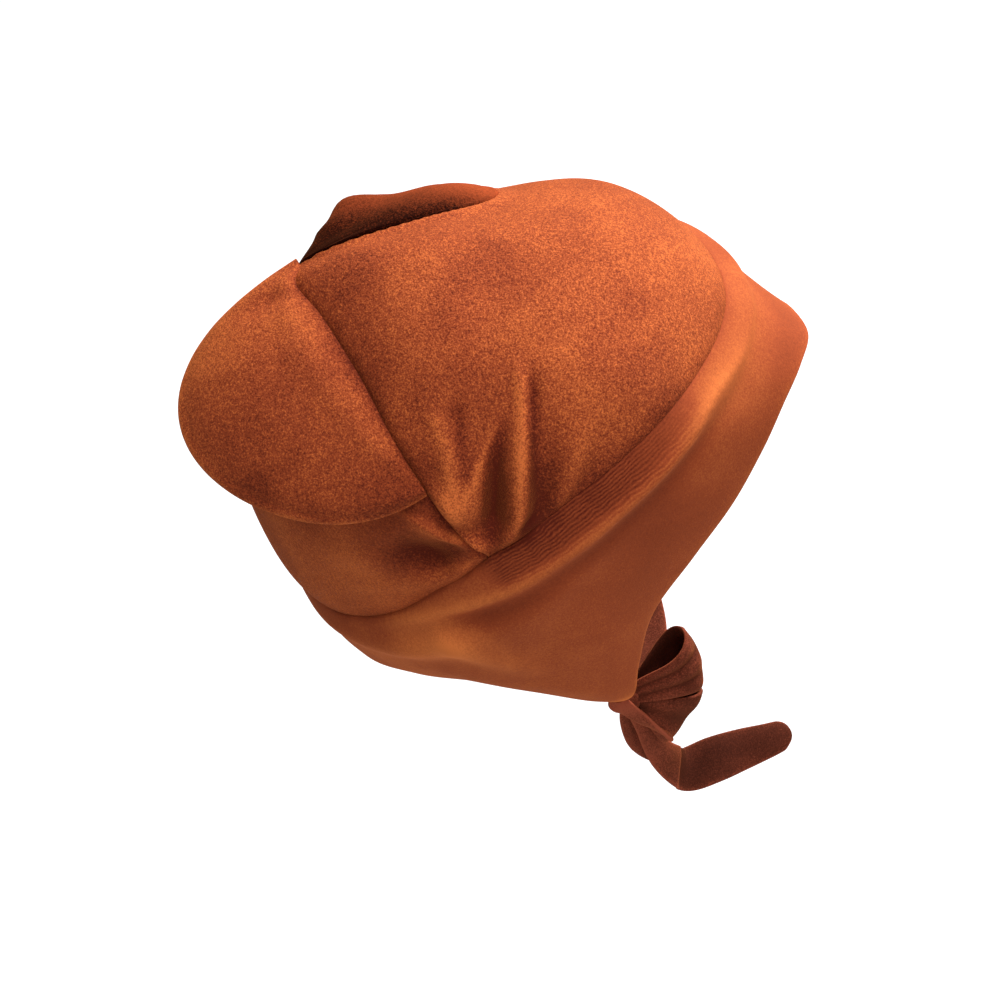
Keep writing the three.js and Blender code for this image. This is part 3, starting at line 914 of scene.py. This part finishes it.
def band_detail(base, near):
    """The ridge below the pile strip, the hollow under it and the creases of the flap."""
    ridge = ridge_height(base, BAND_RIDGE, RIDGE_WIDTH, RIDGE_RISE)
    hollow = ridge_height(base, np.array(BAND_RIDGE) + HOLLOW_SHIFT, HOLLOW_WIDTH, HOLLOW_DEPTH)
    folds = fold_height(base, CREASES)
    return calm(base, near) + (ridge - hollow + folds) * np.minimum(1, near / FOLD_FREE)


# Ears


def lobe(s, widen, skew):
    """Outline of a round ear: how far along its seam and how far out, as shares."""
    angle = PI * s
    along = 0.5 - (0.5 + widen) * np.cos(angle)
    out = np.sin(angle) ** 0.85 * (1 - skew * np.cos(angle))
    return along, out


def padding(s, k, thick, edge):
    """Thickness of a padded ear: full in the middle, pressed at its seam and rounded at its rim."""
    side = np.sin(PI * np.clip(s, 0.02, 0.98)) ** 0.5
    depth = 1 - np.maximum(0, (k - 0.55) / 0.45) ** 2
    root = np.clip(0.35 + k * 3, 0, 1)
    full = edge + (thick - edge) * side * depth * root
    groove = GROOVE_DEPTH * bell(k, GROOVE_AT, GROOVE_WIDTH)
    past = np.maximum(0, (k - RIM_FROM) / (1 - RIM_FROM))
    rounding = np.sqrt(np.clip(1 - past**2, 0.02, 1))
    return (full - groove) * rounding


def ear_grid(across, along):
    """Shares along the ear and out to its rim, with rows closer together at the rim."""
    s, k = np.meshgrid(np.linspace(0, 1, across + 1), np.linspace(0, 1, along + 1) ** 0.8)
    return s, k


def ear_piece(name, top, bottom, marks):
    """A closed pad from its upper and its under face."""
    rows = np.concatenate([top, bottom[::-1]])
    count, columns = rows.shape[:2]
    quads = grid_faces(count, columns, False, True)
    quads = np.vstack([quads, side_faces(len(top) - 1, columns, count)])
    doubled = {k: np.concatenate([m, m[::-1]]) for k, m in marks.items()}
    points = lengthen(rows).reshape(-1, 3)
    return make_piece(name, points, quads, doubled)


def near_ear():
    """The ear that is swept back, with its rolled seam and its drooping rim."""
    e = NEAR_EAR
    facing = unit(np.array(e["facing"]))
    low = ear_seam(np.array(e["start"]))
    chord = ear_seam(np.array(e["end"])) - low
    back = unit(np.cross(facing, chord))
    s, k = ear_grid(110, 80)
    along, out = lobe(s, e["widen"], e["skew"])
    root = ear_seam(e["start"] + (e["end"] - e["start"]) * s) + facing * e["root"]
    rim = (
        low
        + chord * along[..., None]
        + back * (e["reach"] * out)[..., None]
        + facing * (e["root"] - e["droop"] * out)[..., None]
    )
    belly = e["belly"] * np.sin(PI * k) * out
    p = root + (rim - root) * k[..., None] + facing * belly[..., None]
    half = padding(s, k, e["thick"], e["edge"]) / 2
    uneven = 0.8 * soft_waves(p, 40, 11) * np.sin(PI * k) + 0.3 * soft_waves(p, 15, 5) * k
    roll = e["roll"] * bell(k, e["roll_at"], e["roll_width"]) * np.sin(PI * s) ** 0.5
    fall = e["fall"] * np.maximum(0, (k - e["fall_from"]) / (1 - e["fall_from"])) ** 2
    (dent_s, dent_k), (width_s, width_k) = e["dent_at"], e["dent_size"]
    dent = e["dent"] * bell(s, dent_s, width_s) * bell(k, dent_k, width_k)
    form = uneven - dent + roll - fall
    tip = bell(s, 1, e["tip_width"])
    p = p + facing * form[..., None] - back * (e["tip_over"] * tip)[..., None]
    pad = facing * half[..., None]
    # Marks that paint light and shade: lighter rolls, darker dent and droop, painted shade at the seam,
    # painted highlight at the rim.
    marks = {"fold": form, "seam": np.exp(-k * 30), "hem": np.exp(-(1 - k) * 40)}
    return ear_piece("ear_right_velour", p + pad, p - pad, marks)


def far_ear():
    """The ear that is folded over the crown, with painted shade inside its fold."""
    e = FAR_EAR
    s, k = ear_grid(90, 60)
    _, out = lobe(s, 0, e["skew"])
    u = e["start"] + (e["end"] - e["start"]) * s
    base = crown_surface(u, e["root"] - e["reach"] * out * k)
    away = -inward(base)
    peak = 1 + e["peak"] * bell(s, e["peak_at"], e["peak_width"])
    roll = e["roll"] * peak * out * bell(k, e["roll_at"], e["roll_width"])
    from_seam = np.linalg.norm(base - ear_seam(u), axis=-1)
    lies_close = np.clip((k - 0.55) / 0.45, 0, 1) ** 2
    clear = e["clear"] + (e["tight"] - e["clear"]) * lies_close
    puff = sizes().seam_puff / MM * (1 - np.exp(-from_seam / PUFF_REACH))
    opened = np.clip(s / 0.2, 0.1, 1)
    bed = puff + (clear + roll) * opened + CREST_RISE * np.clip((k - 0.7) / 0.3, 0, 1)
    thick = padding(s, k, e["thick"], e["thin"])
    uneven = 0.35 * soft_waves(base, 30, 21)
    towards_rim = np.clip((k - 0.5) / 0.5, 0, 1) * np.clip((s - 0.2) / 0.2, 0, 1)
    # Painted shade inside the fold near the ear's root, paler towards its rim.
    painted_shade = 0.5 / (1 + np.exp((s - 0.21) / 0.09)) + 0.16 * bell(s, 0.3, 0.25)
    paler = 0.75 * towards_rim**2 * (3 - 2 * towards_rim)
    marks = {"fold": uneven - painted_shade * (1 - paler) / FAR_FOLD_SHADING_GAIN}
    bottom = base + away * bed[..., None]
    top = base + away * (bed + thick + uneven * np.sin(PI * k))[..., None]
    return ear_piece("ear_left_velour", top, bottom, marks)


# Ties, tails, knot and loops


def strap_piece(name, table, segments, crease, seed, tuck):
    """A soft flat strap, slightly rumpled; a tuck is where it folds back under itself."""
    rows = np.array(table, float)
    line = rows[:, :3]
    t = np.linspace(0, 1, segments + 1)
    middle = catmull(line, t)
    ahead = unit(catmull(line, np.minimum(1, t + 0.01)) - catmull(line, np.maximum(0, t - 0.01)))
    across = catmull(rows[:, 3:6], t)
    across = unit(across - ahead * (across * ahead).sum(-1, keepdims=True))
    upwards = np.cross(ahead, across)
    half = catmull(rows[:, 6:7], t)
    turn = np.linspace(0, 2 * PI, 40, endpoint=False)
    w = (np.sign(np.cos(turn)) * np.abs(np.cos(turn)) ** 0.8)[None, :]
    h = (0.5 * STRAP * np.sign(np.sin(turn)) * np.abs(np.sin(turn)) ** 0.55)[None, :]
    h = h * (1 - 0.18 * bell(np.abs(w), 0.8, 0.08))
    gone = np.concatenate([[0], np.cumsum(np.linalg.norm(np.diff(middle, axis=0), axis=-1))])
    left = (gone[-1] - gone)[:, None]
    ends = np.sqrt(np.clip(1 - np.maximum(0, 1 - left / half[-1]) ** 2, 0.01, 1))
    wave = soft_waves(middle, 17, seed)[:, None] * 0.5
    bow = crease * (w**2 - 0.4)
    lift = h * ends + (wave + bow) * np.minimum(1, np.minimum(t, 1 - t) * 8)[:, None]
    painted_glint_and_shade = np.zeros(lift.shape)
    # At the tuck, a painted glint along its edge and painted shade inside the fold.
    if tuck:
        past = t[:, None] - tuck["at"] - tuck["slant"] * (w + 1)
        over = 0.5 - 0.5 * np.tanh(past / tuck["edge"])
        lift -= tuck["step"] * over * np.clip((t[:, None] - 0.1) / 0.25, 0, 1)
        shade = (1 - over) * np.exp(-np.maximum(0, past) / tuck["shade_reach"]) * np.clip(1.1 - w, 0, 1)
        painted_glint_and_shade += tuck["glint"] * bell(past, 0, tuck["glint_width"]) - tuck["shade"] * shade
    sideways = across[:, None] * (w * half * ends)[..., None]
    points = middle[:, None] + sideways + upwards[:, None] * lift[..., None]
    # Marks that paint light and shade: lighter on rumples, painted shade in the crease underneath, painted
    # highlight at the edges.
    marks = {
        "fold": wave - crease * bell(w, 0, 0.6) * (h < 0),
        "hem": np.broadcast_to(np.exp(-(1 - np.abs(w)) / 0.1), lift.shape),
        "painted_glint_and_shade": painted_glint_and_shade,
    }
    return closed_tube(name, points, marks)


def closed_tube(name, points, marks):
    """A tube of rings, with each end closed by a tiny inner ring and a row of quads across it."""
    count, columns = points.shape[:2]
    i = np.arange(columns)
    n = (i + 1) % columns
    left = np.arange(columns // 2 - 1)
    right = columns - 1 - left
    parts = [points.reshape(-1, 3)]
    faces = [grid_faces(count, columns, True, False)]
    for end, ring in enumerate((0, count - 1)):
        middle = points[ring].mean(0)
        parts.append(middle + (points[ring] - middle) * 0.02)
        edge, start = ring * columns, (count + end) * columns
        strip = np.stack([edge + n, edge + i, start + i, start + n], -1)
        cap = start + np.stack([left, left + 1, right - 1, right], -1)
        faces += [strip[:, ::-1], cap] if ring else [strip, cap[:, ::-1]]
    whole = {key: np.concatenate([rows.ravel(), rows[0], rows[-1]]) for key, rows in marks.items()}
    return make_piece(name, lengthen(np.vstack(parts)), np.vstack(faces), whole)


def loop_piece(name, loop, seed):
    """A bow loop: out from the knot, over at its far edge and back, with pleats that meet at the knot."""
    far_low, far_high, near_low, near_high = (
        np.array(loop[key], float) for key in ("far_low", "far_high", "near_low", "near_high")
    )
    forward = unit(far_low + far_high - near_low - near_high)
    across = unit(far_high - far_low)
    face = unit(np.cross(forward, across))

    def place(turn, w):
        near = near_low + (near_high - near_low) * w[..., None]
        far = far_low + (far_high - far_low) * w[..., None]
        reach = np.maximum(0, np.sin(PI * turn)) ** 0.75 * (1 + 0.1 * np.sin(PI * w))
        opening = np.sin(2 * PI * turn)
        gathered = 1.1 * np.cos(PI * turn)
        pleat = loop["pleat"] * np.sin(2 * PI * loop["pleats"] * w) * reach
        p = near + (far - near) * reach[..., None]
        rumple = 0.5 * soft_waves(p, 15, seed) * reach
        p = p + face * (loop["open"] * opening * (0.45 + 0.55 * w) + gathered + pleat + rumple)[..., None]
        return p - across * (loop["lean"] * opening * w)[..., None]

    turn, w = np.meshgrid(np.linspace(LOOP_START, 1 - LOOP_START, 121), np.linspace(0, 1, 49))
    p = place(turn, w)
    round_way = place(turn + 0.01, w) - place(turn - 0.01, w)
    side_way = place(turn, np.minimum(1, w + 0.01)) - place(turn, np.maximum(0, w - 0.01))
    inside = unit(np.cross(round_way, side_way))
    fade = np.sqrt(np.clip(1 - np.maximum(0, (np.abs(2 * w - 1) - 0.96) / 0.04) ** 2, 0.05, 1))[..., None]
    outer = p + inside * (1 - fade) * LOOP_CLOTH / 2
    inner = p + inside * (1 + fade) * LOOP_CLOTH / 2
    rows = np.concatenate([outer, inner[::-1]])
    count, columns = rows.shape[:2]
    quads = np.vstack([grid_faces(count, columns, False, True), side_faces(len(outer) - 1, columns, count)])
    pleat_mark = np.sin(2 * PI * loop["pleats"] * w)
    # Marks that paint light and shade: painted shade inside the loop, lighter and darker pleats with the
    # face darker by its shift, painted shade at the knot, painted highlight at the edges.
    marks = {
        "fold": np.concatenate([np.full(w.shape, LOOP_INSIDE_SHADE), pleat_mark[::-1] + loop["face"]]),
        "seam": np.concatenate([np.exp(-np.sin(PI * turn) * 9)] * 2),
        "hem": np.concatenate([np.exp(-(1 - np.abs(2 * w - 1)) / 0.05)] * 2),
    }
    return make_piece(name, lengthen(rows).reshape(-1, 3), quads, marks)


def knot_piece():
    """The knot: a soft rounded block wrapped by shallow bands."""
    polar = np.linspace(KNOT["cap"], PI - KNOT["cap"], 49)
    round_way = np.linspace(0, 2 * PI, 64, endpoint=False)
    lat, lon = np.meshgrid(polar, round_way, indexing="ij")
    ball = np.stack([np.sin(lat) * np.cos(lon), np.sin(lat) * np.sin(lon), np.cos(lat)], -1)
    wraps = KNOT["wrap"] * np.sin(ball[..., 1] * 6 + 2 * ball[..., 2])
    block = np.sign(ball) * np.abs(ball) ** KNOT["squareness"] * (0.92 + wraps)[..., None]
    points = np.array(KNOT["place"]) + block * np.array(KNOT["size"]) / 2
    # The wraps' height is painted as lighter bands with painted shade between them.
    return closed_tube("bow_knot_velour", points, {"fold": wraps * 10})


# Materials


def feed(tree, socket, value):
    """Gives a socket a number, or links another socket to it."""
    if isinstance(value, (int, float)):
        socket.default_value = value
    else:
        tree.links.new(value, socket)


def add_node(tree, kind, **settings):
    """Adds a node on the next free place of a grid."""
    place = len(tree.nodes)
    node = tree.nodes.new(kind)
    node.location = (240 * (place % 6), -280 * (place // 6))
    for key, value in settings.items():
        setattr(node, key, value)
    return node


def math_node(tree, operation, a, b=None):
    """The result of a sum on numbers or sockets."""
    node = add_node(tree, "ShaderNodeMath", operation=operation)
    feed(tree, node.inputs[0], a)
    if b is not None:
        feed(tree, node.inputs[1], b)
    return node.outputs[0]


def noise(tree, place, scale, detail=2, roughness=0.5, distortion=0.0):
    """Noise of the given scale at the place."""
    node = add_node(tree, "ShaderNodeTexNoise", noise_dimensions="3D")
    tree.links.new(place, node.inputs["Vector"])
    values = {"Scale": scale, "Detail": detail, "Roughness": roughness, "Distortion": distortion}
    for label, value in values.items():
        feed(tree, node.inputs[label], value)
    return node.outputs["Fac"]


def mesh_mark(tree, name):
    """One of the marks that the meshes carry."""
    return add_node(tree, "ShaderNodeAttribute", attribute_name=name).outputs["Fac"]


def object_place(tree):
    """The place on the object."""
    return add_node(tree, "ShaderNodeTexCoord").outputs["Object"]


def new_group(name, inputs, outputs):
    """An empty group of shader nodes with number sockets, and its start and end."""
    group = bpy.data.node_groups.new(name, "ShaderNodeTree")
    for label, value in inputs.items():
        socket = group.interface.new_socket(name=label, in_out="INPUT", socket_type="NodeSocketFloat")
        socket.default_value = value
    for label in outputs:
        group.interface.new_socket(name=label, in_out="OUTPUT", socket_type="NodeSocketFloat")
    return group, add_node(group, "NodeGroupInput").outputs, add_node(group, "NodeGroupOutput").inputs


def use_group(tree, name, values):
    """The outputs of a shared group, with its inputs set."""
    node = add_node(tree, "ShaderNodeGroup", node_tree=bpy.data.node_groups[name])
    for label, value in values.items():
        node.inputs[label].default_value = value
    return node.outputs


def pile_group():
    """Short velour pile: a height for the bump, a tone of the tufts and a tone of brushed patches."""
    inputs = {"Tuft Size": 0.0008, "Streak": 0.35}
    group, start, end = new_group("Velour Pile", inputs, ("Height", "Tone", "Patches"))
    place = object_place(group)
    frequency = math_node(group, "DIVIDE", 1.0, start["Tuft Size"])
    fine = noise(group, place, frequency, detail=3, roughness=0.7)
    clump = noise(group, place, math_node(group, "MULTIPLY", frequency, 0.45))
    height = math_node(group, "ADD", fine, math_node(group, "MULTIPLY", clump, 0.3))
    tone = math_node(group, "MULTIPLY", math_node(group, "SUBTRACT", height, 0.65), 1.5)
    brushed = noise(group, place, BRUSHED_SCALE, distortion=0.6)
    wide = math_node(group, "MULTIPLY", noise(group, place, WIDE_SCALE), 0.8)
    both = math_node(group, "SUBTRACT", math_node(group, "ADD", brushed, wide), 0.9)
    feed(group, end["Height"], height)
    feed(group, end["Tone"], tone)
    feed(group, end["Patches"], math_node(group, "MULTIPLY", both, start["Streak"]))


def painted_shading_group():
    """A shift of tone that paints light and shade: lighter on fold ridges and darker in their valleys,
    painted shade at seams, painted highlight at hems, and the painted spots and lines.
    """
    gains = {"Fold Shading Gain": 0.05, "Seam Shade Gain": 0.3, "Hem Highlight Gain": 0.15}
    group, start, end = new_group("Painted Light And Shade", gains, ("Shift",))
    fold, seam, hem = (
        math_node(group, "MULTIPLY", mesh_mark(group, name), start[gain])
        for name, gain in zip(("fold", "seam", "hem"), gains)
    )
    shift = math_node(group, "ADD", math_node(group, "SUBTRACT", fold, seam), hem)
    feed(group, end["Shift"], math_node(group, "ADD", shift, mesh_mark(group, "painted_light")))


def strip_group():
    """The band's strip of ribbed pile below its seam: a tone and a height."""
    inputs = {"Width": STRIP_WIDTH, "Rib": STRIP_RIB}
    group, start, end = new_group("Ribbed Strip", inputs, ("Tone", "Height"))
    below, place = mesh_mark(group, "below"), object_place(group)
    wander = math_node(group, "MULTIPLY", noise(group, place, WANDER_SCALE), 2.4)
    lines = math_node(group, "DIVIDE", math_node(group, "ADD", below, wander), start["Rib"])
    wave = math_node(group, "SINE", math_node(group, "MULTIPLY", lines, 2 * PI))
    edge = add_node(group, "ShaderNodeMapRange", interpolation_type="SMOOTHSTEP")
    feed(group, edge.inputs["Value"], math_node(group, "DIVIDE", below, start["Width"]))
    for label, value in (("From Min", 0.75), ("From Max", 1.15), ("To Min", 1), ("To Max", 0)):
        feed(group, edge.inputs[label], value)
    inside = math_node(group, "MULTIPLY", edge.outputs["Result"], mesh_mark(group, "strip"))
    tufts = math_node(group, "SUBTRACT", noise(group, place, TUFT_SCALE), 0.2)
    broken = math_node(group, "MULTIPLY", wave, math_node(group, "MULTIPLY", tufts, 2.6))
    ribs = math_node(group, "MULTIPLY", broken, inside)
    dim = math_node(group, "MULTIPLY", inside, STRIP_DIM)
    rib_tone = math_node(group, "MULTIPLY", ribs, RIB_TONE)
    feed(group, end["Tone"], math_node(group, "ADD", dim, rib_tone))
    feed(group, end["Height"], ribs)


def velour(name, middle, painted_shade, bright):
    """A velour finish: colour from its shade end to its highlight end by painted light and shade and by
    pile tone, with soft sheen.
    """
    tuft, streak, sheen, bump, fold_shading_gain, seam_shade_gain, hem_highlight_gain, pile_gain, gloss = FINISHES[name]
    material = bpy.data.materials.new(name)
    material.use_nodes = True
    tree = material.node_tree
    shader = next(n for n in tree.nodes if n.type == "BSDF_PRINCIPLED")
    pile = use_group(tree, "Velour Pile", {"Tuft Size": tuft * sizes().pile_size, "Streak": streak})
    gains = {"Fold Shading Gain": fold_shading_gain, "Seam Shade Gain": seam_shade_gain, "Hem Highlight Gain": hem_highlight_gain}
    painted_shading = use_group(tree, "Painted Light And Shade", gains)
    tufts = math_node(tree, "MULTIPLY", pile["Tone"], pile_gain)
    tone = math_node(tree, "ADD", math_node(tree, "ADD", tufts, pile["Patches"]), painted_shading["Shift"])
    height = pile["Height"]
    if name == "Velour Band":
        strip = use_group(tree, "Ribbed Strip", {})
        tone = math_node(tree, "ADD", tone, strip["Tone"])
        ribs = math_node(tree, "MULTIPLY", strip["Height"], RIB_RELIEF)
        height = math_node(tree, "ADD", height, ribs)
    ramp = add_node(tree, "ShaderNodeValToRGB")
    stops = ramp.color_ramp.elements
    stops[0].position, stops[1].position = 0.05, 0.95
    stops[0].color = (*painted_shade, 1)
    stops[1].color = (*bright, 1)
    stops.new(0.5).color = (*middle, 1)
    feed(tree, ramp.inputs["Fac"], math_node(tree, "ADD", tone, 0.5))
    feed(tree, shader.inputs["Base Color"], ramp.outputs["Color"])
    rough = add_node(tree, "ShaderNodeMapRange")
    for label, value in zip(("To Min", "To Max"), ROUGHNESS):
        feed(tree, rough.inputs[label], value)
    feed(tree, rough.inputs["Value"], pile["Height"])
    feed(tree, shader.inputs["Roughness"], rough.outputs["Result"])
    relief = add_node(tree, "ShaderNodeBump")
    feed(tree, relief.inputs["Strength"], bump)
    feed(tree, relief.inputs["Distance"], RELIEF)
    feed(tree, relief.inputs["Height"], height)
    feed(tree, shader.inputs["Normal"], relief.outputs["Normal"])
    shader.inputs["Sheen Weight"].default_value = sheen
    shader.inputs["Sheen Roughness"].default_value = SHEEN_ROUGHNESS
    shader.inputs["Sheen Tint"].default_value = SHEEN_TINT
    shader.inputs["Specular IOR Level"].default_value = gloss


def tint(colour, share):
    """A colour multiplied by a share, or by one share for each channel."""
    return tuple(np.multiply(colour, share))


def cloth_materials():
    """The hat's finishes, made once."""
    if "Velour Crown" in bpy.data.materials:
        return
    pile_group()
    painted_shading_group()
    strip_group()
    rust, painted_shade, bright, tie = (
        tuple(getattr(colours(), key)) for key in ("rust", "rust_shade", "rust_bright", "tie")
    )
    for name in ("Velour Crown", "Velour Back", "Velour Ear"):
        velour(name, rust, painted_shade, bright)
    # A shaded copy of the velour for the far ear, with a near-black end for the painted shade of its fold.
    velour("Velour Far Ear Shaded", rust, tint(painted_shade, FAR_SHADE), bright)
    velour("Velour Band", tint(rust, BAND_WARMTH), painted_shade, tint(tint(bright, BAND_WARMTH), BAND_WARMTH))
    velour("Velour Ties", tie, tint(tie, TIE_SHADE), tint(tie, TIE_LIGHT))


# Operators, one for each step


class HAT_OT_camera(bpy.types.Operator):
    """Places the camera above the right side of the hat, turned as a hand-held camera is."""

    bl_idname = "hat.camera"
    bl_label = "Camera"

    def execute(self, context):
        azimuth, elevation, roll = (math.radians(turn) for turn in CAMERA_TURN)
        back = Vector((
            math.sin(azimuth) * math.cos(elevation),
            -math.cos(azimuth) * math.cos(elevation),
            math.sin(elevation),
        ))
        right = (-back).cross(Vector((0, 0, 1))).normalized()
        up = right.cross(-back)
        turned_right = right * math.cos(roll) + up * math.sin(roll)
        turned_up = up * math.cos(roll) - right * math.sin(roll)
        data = bpy.data.cameras.new("Camera")
        data.lens = CAMERA_LENS
        data.sensor_width = 36
        data.clip_start, data.clip_end = 0.05, 20
        camera = bpy.data.objects.new("Camera", data)
        context.scene.collection.objects.link(camera)
        turn = Matrix((turned_right, turned_up, back)).transposed().to_4x4()
        camera.matrix_world = Matrix.Translation(Vector(CAMERA_AIM) + back * CAMERA_DISTANCE) @ turn
        context.scene.camera = camera
        return {"FINISHED"}


class HAT_OT_stage(bpy.types.Operator):
    """Lays the pale floor and hangs the soft studio lights."""

    bl_idname = "hat.stage"
    bl_label = "Stage"

    def execute(self, context):
        for other in context.selected_objects:
            other.select_set(False)
        bpy.ops.mesh.primitive_plane_add(size=FLOOR_SIZE, location=(0, 0, -sizes().floor_drop))
        floor = context.active_object
        floor.name = "pale_floor"
        bpy.ops.object.transform_apply(location=True, rotation=True, scale=True)
        paper = bpy.data.materials.new("Pale Floor")
        paper.use_nodes = True
        shader = next(n for n in paper.node_tree.nodes if n.type == "BSDF_PRINCIPLED")
        shader.inputs["Base Color"].default_value = (*colours().floor, 1)
        shader.inputs["Roughness"].default_value = 0.9
        shader.inputs["Emission Color"].default_value = (1, 1, 1, 1)
        path = add_node(paper.node_tree, "ShaderNodeLightPath")
        glow = math_node(paper.node_tree, "MULTIPLY", path.outputs["Is Camera Ray"], FLOOR_GLOW)
        feed(paper.node_tree, shader.inputs["Emission Strength"], glow)
        shader.inputs["Specular IOR Level"].default_value = 0.1
        floor.data.materials.append(paper)
        world = bpy.data.worlds.new("Studio")
        world.use_nodes = True
        sky = next(n for n in world.node_tree.nodes if n.type == "BACKGROUND")
        sky.inputs["Color"].default_value = (1, 1, 1, 1)
        sky.inputs["Strength"].default_value = SKY_STRENGTH
        context.scene.world = world
        for light in LIGHTS:
            soft_light(*light)
        context.scene.view_settings.view_transform = "Standard"
        return {"FINISHED"}


def soft_light(name, place, size, watts):
    """A square soft box that faces the hat."""
    data = bpy.data.lights.new(name, "AREA")
    data.shape = "SQUARE"
    data.size = size
    data.energy = watts
    light = bpy.data.objects.new(name, data)
    bpy.context.scene.collection.objects.link(light)
    light.location = place
    light.rotation_mode = "QUATERNION"
    light.rotation_quaternion = (Vector(place) - Vector(LIGHT_AIM)).to_track_quat("Z", "Y")


class HAT_OT_crown(bpy.types.Operator):
    """Sews the front and the back panel of the crown."""

    bl_idname = "hat.crown"
    bl_label = "Crown panels"

    def execute(self, context):
        cloth_materials()
        front = sewn_cloth(
            "crown_front_velour", crown_surface, 180, 150, (0.004, 0.996), (True, True), crown_detail,
            extra=front_extra,
        )
        finish_piece(front, "Velour Crown", "crown_front")
        rear = sewn_cloth(
            "crown_back_velour", back_surface, 150, 90, (0.005, 0.995), (True, True), crown_detail
        )
        finish_piece(rear, "Velour Back", "crown_back")
        return {"FINISHED"}


class HAT_OT_band(bpy.types.Operator):
    """Sews the brim band with its two ear flaps and rounded hem."""

    bl_idname = "hat.band"
    bl_label = "Brim band and flaps"

    def execute(self, context):
        cloth_materials()
        band = sewn_cloth(
            "brim_band_velour", band_surface, 330, 70, (0, 1), (True, False), band_detail, closed=True
        )
        finish_piece(band, "Velour Band", "brim_band")
        return {"FINISHED"}


class HAT_OT_ears(bpy.types.Operator):
    """Makes the two padded ears, one swept back and one folded over the crown."""

    bl_idname = "hat.ears"
    bl_label = "Ears"

    def execute(self, context):
        cloth_materials()
        ears = ((near_ear(), "Velour Ear", "ear_right"), (far_ear(), "Velour Far Ear Shaded", "ear_left"))
        for piece, finish, node in ears:
            finish_piece(piece, finish, node)
        return {"FINISHED"}


class HAT_OT_ties(bpy.types.Operator):
    """Makes the tie of each ear flap and the two free tails."""

    bl_idname = "hat.ties"
    bl_label = "Ties and tails"

    def execute(self, context):
        cloth_materials()
        straps = (
            ("tie_right", TIE_RIGHT, 120, 0.0, 4, (0.01, 0.039)),
            ("tie_left", TIE_LEFT, 200, 0.0, 5, (0.016, 0.131)),
            ("tail_front", TAIL_FRONT, 300, 0.8, 6, (0.017, 0.111)),
            ("tail_back", TAIL_BACK, 90, 0.5, 7, (0.0115, 0.051)),
        )
        for node, table, segments, crease, seed, flat in straps:
            tuck = TAIL_TUCK if node == "tail_front" else None
            piece = strap_piece(node + "_velour", table, segments, crease, seed, tuck)
            finish_piece(piece, "Velour Ties", node)
        return {"FINISHED"}


class HAT_OT_bow(bpy.types.Operator):
    """Ties the knot and fans out the bow's two pleated loops."""

    bl_idname = "hat.bow"
    bl_label = "Bow"

    def execute(self, context):
        cloth_materials()
        knot = knot_piece()
        finish_piece(knot, "Velour Ties", "bow_knot")
        for node, loop, seed in (("bow_loop_upper", LOOP_UPPER, 8), ("bow_loop_lower", LOOP_LOWER, 9)):
            piece = loop_piece(node + "_velour", loop, seed)
            finish_piece(piece, "Velour Ties", node)
        return {"FINISHED"}


class HAT_PT_panel(bpy.types.Panel):
    """Lists the steps that build the hat."""

    bl_label = "Velour Animal Hat"
    bl_idname = "HAT_PT_panel"
    bl_space_type = "VIEW_3D"
    bl_region_type = "UI"
    bl_category = "Hat"

    def draw(self, context):
        layout = self.layout
        for step in STEPS:
            layout.operator(step.bl_idname)
        for group in (context.scene.hat_sizes, context.scene.hat_colours):
            for key in group.bl_rna.properties.keys():
                if key not in ("rna_type", "name"):
                    layout.prop(group, key)


STEPS = (HAT_OT_camera, HAT_OT_stage, HAT_OT_crown, HAT_OT_band, HAT_OT_ears, HAT_OT_ties, HAT_OT_bow)
CLASSES = (HatSizes, HatColours, *STEPS, HAT_PT_panel)


def register():
    """Adds the classes and the scene's settings."""
    for cls in CLASSES:
        bpy.utils.register_class(cls)
    bpy.types.Scene.hat_sizes = bpy.props.PointerProperty(type=HatSizes)
    bpy.types.Scene.hat_colours = bpy.props.PointerProperty(type=HatColours)


def unregister():
    """Takes the settings and the classes away again."""
    del bpy.types.Scene.hat_colours
    del bpy.types.Scene.hat_sizes
    for cls in reversed(CLASSES):
        bpy.utils.unregister_class(cls)


def main():
    """Builds the hat step by step."""
    register()
    for step in (
        bpy.ops.hat.camera,
        bpy.ops.hat.stage,
        bpy.ops.hat.crown,
        bpy.ops.hat.band,
        bpy.ops.hat.ears,
        bpy.ops.hat.ties,
        bpy.ops.hat.bow,
    ):
        step()


if __name__ == "__main__":
    main()
